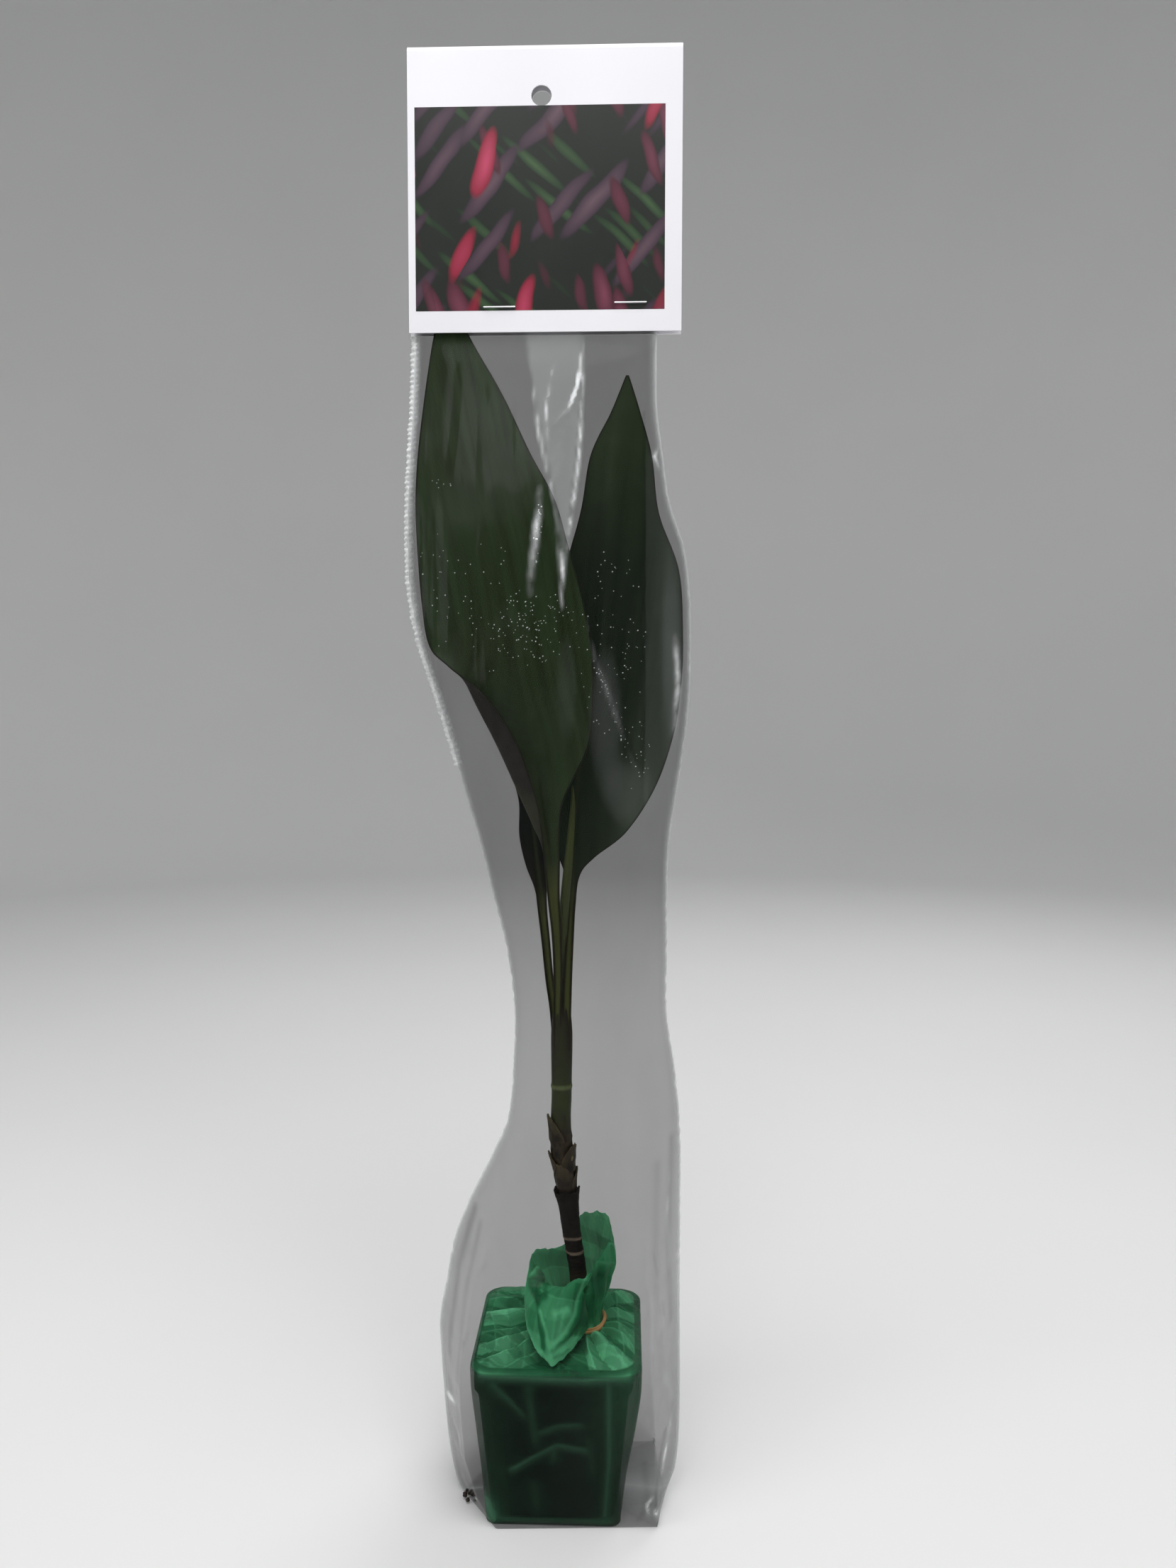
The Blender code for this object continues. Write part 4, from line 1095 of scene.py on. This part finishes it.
sleeve = {
    "around": 260,
    "along": 360,
    "rows": [
        (0.3, -38.5, -8, 43, -4, 22.4, 30.4, 1, 0.96),
        (4, -40.5, -8, 46, -6, 21.8, 33.6, 1, 0.9),
        (12, -42.5, -8, 49, -8, 22, 37, 1, 0.82),
        (26, -44.5, -8, 50.5, -8, 23.4, 39.2, 1, 0.77),
        (44, -46.2, -7, 51, -6, 26.8, 39.8, 1, 0.76),
        (58, -47.5, -5, 51, -4, 29.8, 38.8, 1, 0.75),
        (72, -48.2, -3, 51, -2, 31.6, 36.6, 1, 0.72),
        (88, -45.5, -1, 51, 0, 31, 29, 0.9, 0.72),
        (104, -42.5, 0, 51, 0, 26, 25, 0.6, 0.72),
        (122, -35.5, 0, 51, 0, 20, 20, 0.3, 0.72),
        (140, -26.5, 0, 51, 0, 16, 16, 0, 0.72),
        (156, -20, 0, 50.5, 0, 13, 13, 0, 0.72),
        (176, -18, 0, 48.5, 0, 12, 12, 0, 0.72),
        (200, -17.4, 0, 45, 0, 12, 12.5, 0, 0.72),
        (225, -20.5, 0, 45, 1, 14, 14.5, 0, 0.72),
        (248, -26, -1, 45, 4, 17, 16, 0, 0.72),
        (268, -30.5, -3, 45.8, 7, 19.5, 17, 0, 0.72),
        (288, -36, -5, 48.8, 10, 22, 21, 0, 0.72),
        (308, -41, -8, 52, 12, 23.5, 22, 0, 0.72),
        (328, -46.5, -11, 54, 13, 23, 23, 0, 0.72),
        (348, -52.8, -12, 54.5, 14, 21.5, 23.5, 0, 0.72),
        (368, -56.6, -11, 54, 13.5, 20.5, 22.5, 0, 0.72),
        (388, -57.8, -9, 51.5, 12.5, 19, 20, 0, 0.72),
        (406, -57.8, -7, 45.5, 11, 16, 17.5, 0, 0.72),
        (424, -57.5, -3.5, 42.5, 9, 12, 13, 0, 0.72),
        (442, -57.2, 1, 40, 6.5, 8, 6.5, 0, 0.8),
        (458, -57.2, 4, 39.6, 5.2, 4.6, 3.6, 0.2, 0.9),
        (470.6, -57.2, 5, 39.6, 5, 1.2, 1.2, 1, 0.985),
        (498, -57.2, 5, 39.6, 5, 1.2, 1.2, 1, 0.985),
    ],
    # the left corner is folded in more near the floor: heights and how square it is
    "folded": ([0.3, 12, 30], [0.60, 0.70, 0.77]),
    # a tuck of doubled film hangs from the card, narrowing as it goes down
    "tuck": ([364, 400, 433, 470], [2.8, 0.6, -7, -13], [3.1, 7, 9.9, 10.6]),
    # where it hangs slack, where it folds at the pot's sides, and where it lies double
    "slack": ((466, 426), (68, 98)),
    "wings": ((34, 40), (110, 80)),
    "gusset": ((34.8, 35.6), (265, 295), (450, 420)),
    "plain": ((0.003, 0.0035, 0.003), (0.013, 0.0135, 0.013)),
    "lit": (0.85, 0.87, 0.88),
}


def sleeveGrid(heights, turn):
    table = rowsAtHeights(sleeve["rows"], heights)
    z, leftX, leftY, rightX, rightY, front, back, boxed, corner = table.T[:, :, None]
    across = np.cos(turn)
    folded = np.interp(z, *sleeve["folded"])
    corner = np.where(across < 0, np.minimum(corner, folded), corner)
    depth = np.where(turn < np.pi, -back, front)
    rounded = np.sqrt(np.maximum(1 - across**2, 0))
    box = np.minimum(1, (1 - np.abs(across)) / (1 - corner))
    profile = rounded + (box - rounded) * boxed
    x = (leftX + rightX) / 2 + (rightX - leftX) / 2 * across
    seam = (leftY + rightY) / 2 + (rightY - leftY) / 2 * across
    return *np.broadcast_arrays(x, seam - depth * profile, z, across), profile


# creases that catch the light on the front: x and z at points along, width, strength
glints = [
    (
        [(-13, 470), (-9.4, 455), (-7, 433), (-3.5, 417), (0.6, 400), (2, 384), (2.8, 364)],
        0.9,
        0.4,
    ),
    (
        [(10.5, 470), (10.5, 455), (9.9, 433), (9, 417), (7, 400), (4.8, 384), (3.1, 364)],
        0.9,
        0.55,
    ),
    ([(10.6, 469), (8.3, 449), (5, 440), (-1.1, 432.6)], 0.8, 0.9),
    ([(-2, 470), (-1, 458), (-4, 441), (-3, 425), (1, 412)], 0.7, 0.5),
    ([(3.2, 388), (3.1, 360)], 0.6, 0.8),
    ([(-5.4, 408), (-6.8, 390), (-9.0, 366)], 1.5, 0.55),
    ([(8.7, 377), (15.5, 342), (23.7, 320), (33.4, 295)], 0.7, 0.1),
    ([(47.5, 352), (49.0, 332), (47.0, 312)], 1.3, 0.5),
    ([(41, 428), (39, 423), (41, 418)], 0.9, 0.5),
    ([(-45, 42.8), (-41.6, 46.4), (-37.7, 49.9)], 1.3, 0.75),
    ([(40.6, 9.2), (41.2, 6.6)], 0.9, 1.0),
    ([(41.7, 6), (44, 1)], 1.2, 0.5),
    ([(-42, 44), (-37, 34), (-35, 20)], 0.6, 0.35),
    ([(47.2, 40), (46.1, 34), (43, 20)], 0.9, 0.7),
    ([(40, 16), (37, 12), (38, 6)], 0.8, 0.5),
    ([(44, 60), (48, 44)], 1.2, 0.35),
    ([(47, 150), (45, 120), (47, 88)], 1.0, 0.2),
    ([(-30.5, 9.5), (-31, 8)], 0.7, 0.8),
]


# folds where the film lies double and looks darker
tucks = [
    ([(-33, 120), (-39, 98), (-42, 70), (-41, 48)], 1.4, 0.6),
    ([(-30, 116), (-35, 90), (-37, 60)], 1.0, 0.35),
    ([(-39.5, 40), (-37, 24), (-34, 8)], 1.4, 0.4),
    ([(47, 150), (45.5, 110), (47, 76)], 1.2, 0.4),
    ([(41, 140), (40, 100), (43, 60)], 1.6, 0.25),
    ([(44.5, 36.6), (42.2, 27.6), (40.8, 15.5), (40.8, 8.5)], 0.8, 0.6),
    ([(36, 30), (37.2, 15.4), (37.4, 11.4), (33.6, 4)], 1.4, 0.4),
    ([(-37.6, 54.9), (-37.9, 47.9), (-37.3, 37)], 0.8, 0.5),
    ([(10, 377), (16.8, 342), (25, 320), (34.6, 295)], 0.8, 0.7),
    ([(34.6, 440), (34.8, 360), (34.4, 290)], 0.7, 0.4),
]


# soft milky patches of painted sheen: x, z, half width, half height, strength
veils = [
    (20, 318, 7, 30, 0.055),
    (29, 289, 9, 14, 0.055),
    (5, 330, 5, 26, 0.035),
    (46, 345, 4, 40, 0.05),
]


def filmPoints(heights, turn):
    x, y, z, across, profile = sleeveGrid(heights, turn)
    facing = np.where(turn < np.pi, 1, -1)
    front = facing < 0
    high, low = sleeve["slack"]
    slack = ramp(z, *high) * ramp(z, *low)
    # long soft folds hang down the slack film; short ones pull at the pot's corners
    hang = fractal(x / 7 + 9 * facing, 0, z / 90)
    pull = creases(x / 26, facing, z / 60) - 0.3
    fold = slack * (0.9 * hang + 0.9 * pull)
    out, low = sleeve["wings"]
    wings = ramp(np.abs(x - 2), *out) * ramp(z, *low)
    fold = fold + wings * (1.8 * creases(x / 12, facing, z / 16) - 0.4)
    dense = 0
    for points, width, strength in tucks:
        dense = np.maximum(dense, softLine(x, z, points, width) * strength * front)
    gleam = 0
    for points, width, strength in glints:
        tops = [place[1] for place in points]
        middle = (max(tops) + min(tops)) / 2
        fade = 1.15 - np.abs(z - middle) / ((max(tops) - min(tops)) / 2 + width)
        line = softLine(x, z, points, width) * front * np.clip(fade, 0, 1)
        broken = 0.65 + 0.6 * fractal(x / 5, facing, z / 7)
        gleam = np.maximum(gleam, line * strength * np.clip(broken, 0, 1.2))
        fold = fold + 0.5 * line * strength
    level, left, right = sleeve["tuck"]
    tuck = ramp(x - np.interp(z, level, left), 0, 1.5)
    tuck = tuck * ramp(np.interp(z, level, right) - x, 0, 1.5) * (z > level[0])
    # painted sheen on the doubled film of the tuck
    gleam = np.maximum(gleam, 0.13 * tuck * front)
    # the right gusset lies double behind the front film, and gets a faint painted sheen
    out, low, high = sleeve["gusset"]
    gusset = ramp(x, *out) * ramp(z, *low) * ramp(z, *high)
    gleam = gleam + 0.04 * gusset * front
    for middleX, middleZ, wide, tall, strength in veils:
        away = ((x - middleX) / wide) ** 2 + ((z - middleZ) / tall) ** 2
        gleam = gleam + strength * np.exp(-(away**2)) * front
    y = y + facing * fold * np.minimum(profile * 2, 1)
    edge = np.abs(across) ** 20
    ruffle = np.abs(fractal(facing, 0, z / 6))
    x = x - np.sign(across) * edge * slack * 0.8 * ruffle
    # painted highlights along the sleeve's side edges, and on crinkles in the lower corners
    gleam = np.maximum(gleam, 0.45 * np.abs(across) ** 36)
    patches = np.clip(fractal(x / 6, y / 8, z / 9) - 0.25, 0, 1)
    gleam = np.maximum(gleam, 0.4 * wings * patches * (1 - np.abs(across) ** 6))
    return pointGrid(x, y, z), gleam, dense


def filmFinish():
    r = Recipe("clearFilm", Roughness=0.12, Specular_IOR_Level=0.12)
    gleam = r.read("gleam")
    filmHaze = r.noise(22.0, 4.0, 0.55, (1.0, 1.0, 0.35))
    crease = r.noise(60.0, 3.0, 0.55, (1.0, 1.0, 0.22))
    cloudy = filmHaze.between(0.42, 0.72)
    tone = r.mix(cloudy, *sleeve["plain"])
    tone = r.mix(gleam.between(0.02, 0.45), tone, sleeve["lit"])
    alpha = cloudy * 0.05 + gleam * 0.7 + r.read("dense") * 0.3 + 0.31
    return r.feed(
        Base_Color=tone,
        Alpha=alpha.atMost(0.9),
        Roughness=filmHaze * 0.15 + 0.08,
        Normal=r.bump(crease * 2, 0.3, 0.001),
    )


def sleevePiece():
    floor, top = sleeve["rows"][0][0], sleeve["rows"][-1][0]
    heights = np.concatenate([[floor], np.linspace(floor, top, sleeve["along"])])
    grid, gleam, dense = filmPoints(heights, fullTurn(sleeve["around"]))
    # the first row is drawn together, so that the film closes flat under the pot
    grid[0] = [0, 0, floor]
    marks = {"gleam": gleam, "dense": dense}
    piece = sheetPiece("clearSleeve", grid, filmFinish(), loop=True, marks=marks)
    finishPiece(piece, "clear_film", "clear_sleeve")


sleevePiece()
print("sleeve made")


# crimped heat seal down the sleeve's left edge

seal = {
    "along": 420,
    "across": 17,
    "low": 300.0,
    "high": 471.0,
    "out": 1.3,
    "in": 2.5,
    "pitch": 2.2,
    "tones": ((0.50, 0.51, 0.51), (0.90, 0.91, 0.92)),
}


def sealPiece():
    heights = np.linspace(seal["low"], seal["high"], seal["along"])
    z, leftX, leftY = rowsAtHeights(sleeve["rows"], heights).T[:3, :, None]
    share = np.linspace(0, 1, seal["across"])[None, :]
    crimp = np.sin(z * 2 * np.pi / seal["pitch"] + 2.5 * fractal(0, 0, z / 9))
    ragged = 0.45 * crimp + 0.7 * fractal(0, 4, z / 5)
    outer = leftX - seal["out"] + 0.5 * ragged
    x = outer + (seal["out"] + seal["in"]) * share
    y = leftY + 0.35 * crimp * (1 - share) + 0.5 * fractal(x / 2, 0, z / 3)
    r = Recipe("heatSeal", Roughness=0.3)
    ribs = r.noise(900.0, 3.0, 0.6, (0.5, 1.0, 1.0))
    edge = r.read("inward")
    tone = r.mix(ribs, *seal["tones"])
    alpha = (ribs.between(0.3, 0.7) * 0.35 + 0.5) * edge.between(1.0, 0.6)
    finish = r.feed(Base_Color=tone, Alpha=alpha, Normal=r.bump(ribs, 0.6, 0.0004))
    piece = sheetPiece("heatSeal", pointGrid(x, y, z), finish, marks={"inward": share})
    finishPiece(piece, "clear_film")


sealPiece()


# beads of condensation on the inside, and crumbs of mix that fell to the bottom

beads = {
    # x, z, half width, half height, how many, on the front film
    "patches": [
        (-8, 354, 17, 15, 110),
        (-28, 360, 20, 26, 50),
        (-43, 408, 6, 4, 7),
        (-6, 389, 1.6, 12, 14),
        (22, 350, 14, 38, 80),
        (30, 305, 8, 14, 26),
        (-46, 378, 6, 14, 10),
    ],
    # x and z at points along, how many, how big
    "trails": [
        ([(16.2, 339.6), (22, 325), (27, 310), (34.1, 294.6)], 26, 1.0),
        ([(-5.0, 402), (-5.9, 394), (-6.8, 386)], 12, 1.7),
    ],
    "radius": (0.16, 0.30),
    # painted highlights: the beads are near white, where clear water would show glints
    "tones": ((0.75, 0.80, 0.78), (0.97, 0.98, 0.98)),
}
crumbs = {
    "count": 9,
    "x": (-37.5, -32),
    "y": (-15.5, -9),
    "z": (1.2, 2.6),
    "radius": (0.5, 1.0),
}


def lumps(name, centres, radii, material, rough=0.0, flat=1.0):
    # many small rounded bodies in one mesh
    shape = bmesh.new()
    for number, (centre, radius) in enumerate(zip(centres, radii)):
        made = bmesh.ops.create_icosphere(shape, subdivisions=2 if rough else 1, radius=1.0)
        for vertex in made["verts"]:
            push = 1 + rough * noise.noise(vertex.co * 1.3 + Vector((number, 0, 0)))
            point = vertex.co * radius * push
            point.y = point.y * flat
            vertex.co = (point + Vector(centre)) * mm
    mesh = bpy.data.meshes.new(name)
    shape.to_mesh(mesh)
    shape.free()
    mesh.shade_smooth()
    mesh.materials.append(material)
    return placed(name, mesh)


def frontSpots(x, z):
    # points on the front film at the given places
    left, right = rowsAtHeights(sleeve["rows"], z)[:, [1, 3]].T
    across = np.clip((x - (left + right) / 2) / ((right - left) / 2), -0.96, 0.96)
    order = np.argsort(z)
    turn = 2 * np.pi - np.arccos(across)
    grid = filmPoints(z[order], turn[order][:, None])[0]
    return grid[:, 0]


def beadPiece(draw):
    xs = []
    zs = []
    growth = []
    for x, z, wide, tall, count in beads["patches"]:
        growth.append(np.ones(count))
        reach = draw.uniform(0, 1, count) ** 0.6
        way = draw.uniform(0, 2 * np.pi, count)
        xs.append(x + wide * reach * np.cos(way))
        zs.append(z + tall * reach * np.sin(way))
    for points, count, big in beads["trails"]:
        growth.append(np.full(count, big))
        place = np.sort(draw.uniform(0, len(points) - 1, count))
        track = smoothRows(points, place)
        xs.append(track[:, 0] + draw.normal(0, 0.5, count))
        zs.append(track[:, 1] + draw.normal(0, 0.5, count))
    heights = np.concatenate(zs)
    centres = frontSpots(np.concatenate(xs), heights)
    low, high = beads["radius"]
    radii = low + (high - low) * draw.power(0.6, len(centres))
    radii = radii * np.concatenate(growth)[np.argsort(heights)]
    r = Recipe("waterBeads", Roughness=0.05, IOR=1.33)
    tint = r.noise(400.0)
    # the near white tone is a painted highlight
    finish = r.feed(Base_Color=r.mix(tint, *beads["tones"]), Alpha=tint * 0.3 + 0.75)
    piece = lumps("waterBeads", centres + [0, 0.15, 0], radii, finish, flat=0.5)
    finishPiece(piece, "clear_film")


def crumbPiece(draw):
    centres = []
    radii = []
    for i in range(crumbs["count"]):
        centres.append([draw.uniform(*crumbs[key]) for key in ("x", "y", "z")])
        radii.append(draw.uniform(*crumbs["radius"]))
    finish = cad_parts["soil"].data.materials[0]
    piece = lumps("fallenCrumbs", centres, radii, finish, rough=0.5)
    finishPiece(piece, "potting_mix")


draw = np.random.default_rng(11)
beadPiece(draw)
crumbPiece(draw)
print("film details made")


# header card and its printed panel, a plain pattern of the same colours

card = {
    "along": 30,
    "low": (-56.0, 480.0),
    "high": (42.5, 558.2),
    "lift": 0.06,
    "tones": ((0.78, 0.77, 0.81), (0.86, 0.85, 0.88)),
    "ground": (0.010, 0.013, 0.010),
    # lean of the strokes, scale, cover, how many are left out, colours
    "strokes": (
        (1.1, 120.0, 0.36, 0.30, ((0.012, 0.030, 0.012), (0.050, 0.100, 0.040))),
        (-0.8, 95.0, 0.40, 0.15, ((0.040, 0.022, 0.036), (0.120, 0.070, 0.090))),
        (0.3, 110.0, 0.36, 0.25, ((0.060, 0.012, 0.022), (0.190, 0.045, 0.080))),
        (-0.35, 88.0, 0.34, 0.45, ((0.220, 0.010, 0.030), (0.560, 0.070, 0.150))),
    ),
}
staple = {"tones": ((0.50, 0.50, 0.52), (0.74, 0.74, 0.75))}


def cardFinish():
    r = Recipe("coatedCard", Roughness=0.38)
    fibre = r.noise(1400.0, 4.0, 0.6)
    shade = r.noise(9.0, 2.0)
    tone = r.mix(shade.between(0.3, 0.7), *card["tones"])
    normal = r.bump(fibre, 0.12, 0.0001)
    return r.feed(Base_Color=tone, Roughness=fibre * 0.12 + 0.32, Normal=normal)


def panelFinish():
    r = Recipe("printedPanel", Roughness=0.3)
    sway = r.noise(26.0, 2.0)
    tone = card["ground"]
    axes = r.add("ShaderNodeSeparateXYZ", {}, {0: r.places})
    upright = r.add("ShaderNodeSeparateXYZ", {}, {0: r.places}, 2)
    for lean, scale, cover, skipped, (dark, light) in card["strokes"]:
        shifted = axes + upright * lean + sway * 0.012
        spot = r.add("ShaderNodeCombineXYZ", {}, {0: shifted, 1: lean, 2: upright * 0.30})
        cell = {"Vector": spot, "Scale": scale, "Randomness": 0.9}
        distance = r.add("ShaderNodeTexVoronoi", {}, cell)
        pick = r.add("ShaderNodeTexVoronoi", {}, cell, 1)
        level = r.add("ShaderNodeSeparateColor", {}, {0: pick})
        blade = distance.between(cover + 0.05, cover - 0.02)
        blade = blade * level.between(skipped, skipped + 0.04)
        tone = r.mix(blade, tone, r.mix(distance.between(0.0, cover), light, dark))
    return r.feed(Base_Color=tone, Roughness=sway * 0.1 + 0.25)


def panelPiece():
    # the print lies just in front of the card's front face
    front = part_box("header_card")[0][1] / mm - card["lift"]
    x = np.linspace(card["low"][0], card["high"][0], card["along"])[None, :]
    z = np.linspace(card["low"][1], card["high"][1], card["along"])[:, None]
    grid = pointGrid(x, front, z)
    finishPiece(sheetPiece("printedPanel", grid, panelFinish()), "coated_card")


dressNode("header_card", cardFinish())
panelPiece()


def stapleFinish():
    r = Recipe("stapleWire", Metallic=1.0, Roughness=0.3)
    scratch = r.noise(1500.0, 3.0, 0.6, (0.2, 1.0, 1.0))
    return r.feed(Base_Color=r.mix(scratch, *staple["tones"]), Roughness=scratch * 0.25 + 0.2)


wire = stapleFinish()
for node in ("staple_left", "staple_right"):
    dressNode(node, wire)
print("card made")


# studio

studio = {
    # the camera's lens and sensor in mm, its place in m and its turns in degrees
    "lens": 25.55,
    "sensor": 36.0,
    "nearest": 0.01,
    "place": (0.02726, -0.44745, 0.32020),
    "down": 3.55,
    "left": 1.87,
    "roll": -0.08,
    "air": (0.93, 0.95, 0.97, 1.0),
    "airPower": 0.30,
    # name, place, aim, size, power
    "lamps": (
        ("overheadSoftbox", (0.1, -0.55, 1.5), (0, 0, 0.25), 1.0, 17.0),
        ("leftSoftbox", (-1.1, -0.8, 0.7), (0, 0, 0.3), 0.7, 5.5),
        ("rearSoftbox", (0.6, 0.9, 1.3), (0, 0, 0.3), 0.9, 6.5),
    ),
    # a pale floor that rises far away into a plain wall all round: its flat rings, where it
    # begins to bend, the bend's radius and the wall's top, in mm
    "around": 72,
    "flat": [1, 400, 800, 1400],
    "edge": 1800,
    "bend": 900,
    "wall": 3200,
    "tones": ((0.74, 0.74, 0.735), (0.78, 0.78, 0.775)),
}


def makeFloor():
    turn = fullTurn(studio["around"])
    flat, edge, radius, wall = (studio[key] for key in ("flat", "edge", "bend", "wall"))
    bend = np.radians(np.linspace(0, 90, 25))
    run = np.concatenate([flat, edge + radius * np.sin(bend), [edge + radius]])[:, None]
    rise = np.concatenate([[0] * len(flat), radius * (1 - np.cos(bend)), [wall]])[:, None]
    r = Recipe("paleFloor", Roughness=0.85)
    finish = r.feed(Base_Color=r.mix(r.noise(3.0), *studio["tones"]))
    floor = sheetPiece("paleFloor", ringGrid(0, run, turn, rise), finish, loop=True)


def makeStudio():
    data = bpy.data.cameras.new("photoCamera")
    data.lens = studio["lens"]
    data.sensor_width = studio["sensor"]
    data.clip_start = studio["nearest"]
    camera = placed("photoCamera", data)
    camera.location = studio["place"]
    turns = (90 - studio["down"], studio["roll"], studio["left"])
    camera.rotation_euler = np.radians(turns)
    scene = bpy.context.scene
    scene.camera = camera
    scene.world = bpy.data.worlds.new("softRoom")
    scene.world.use_nodes = True
    air = scene.world.node_tree.nodes["Background"].inputs
    air["Color"].default_value = studio["air"]
    air["Strength"].default_value = studio["airPower"]
    scene.view_settings.view_transform = "Standard"
    for name, place, aim, size, power in studio["lamps"]:
        light = bpy.data.lights.new(name, "AREA")
        light.shape = "SQUARE"
        light.size = size
        light.energy = power
        lamp = placed(name, light)
        lamp.location = place
        lamp.rotation_euler = (Vector(place) - Vector(aim)).to_track_quat("Z", "Y").to_euler()


makeFloor()
makeStudio()
print("studio made")
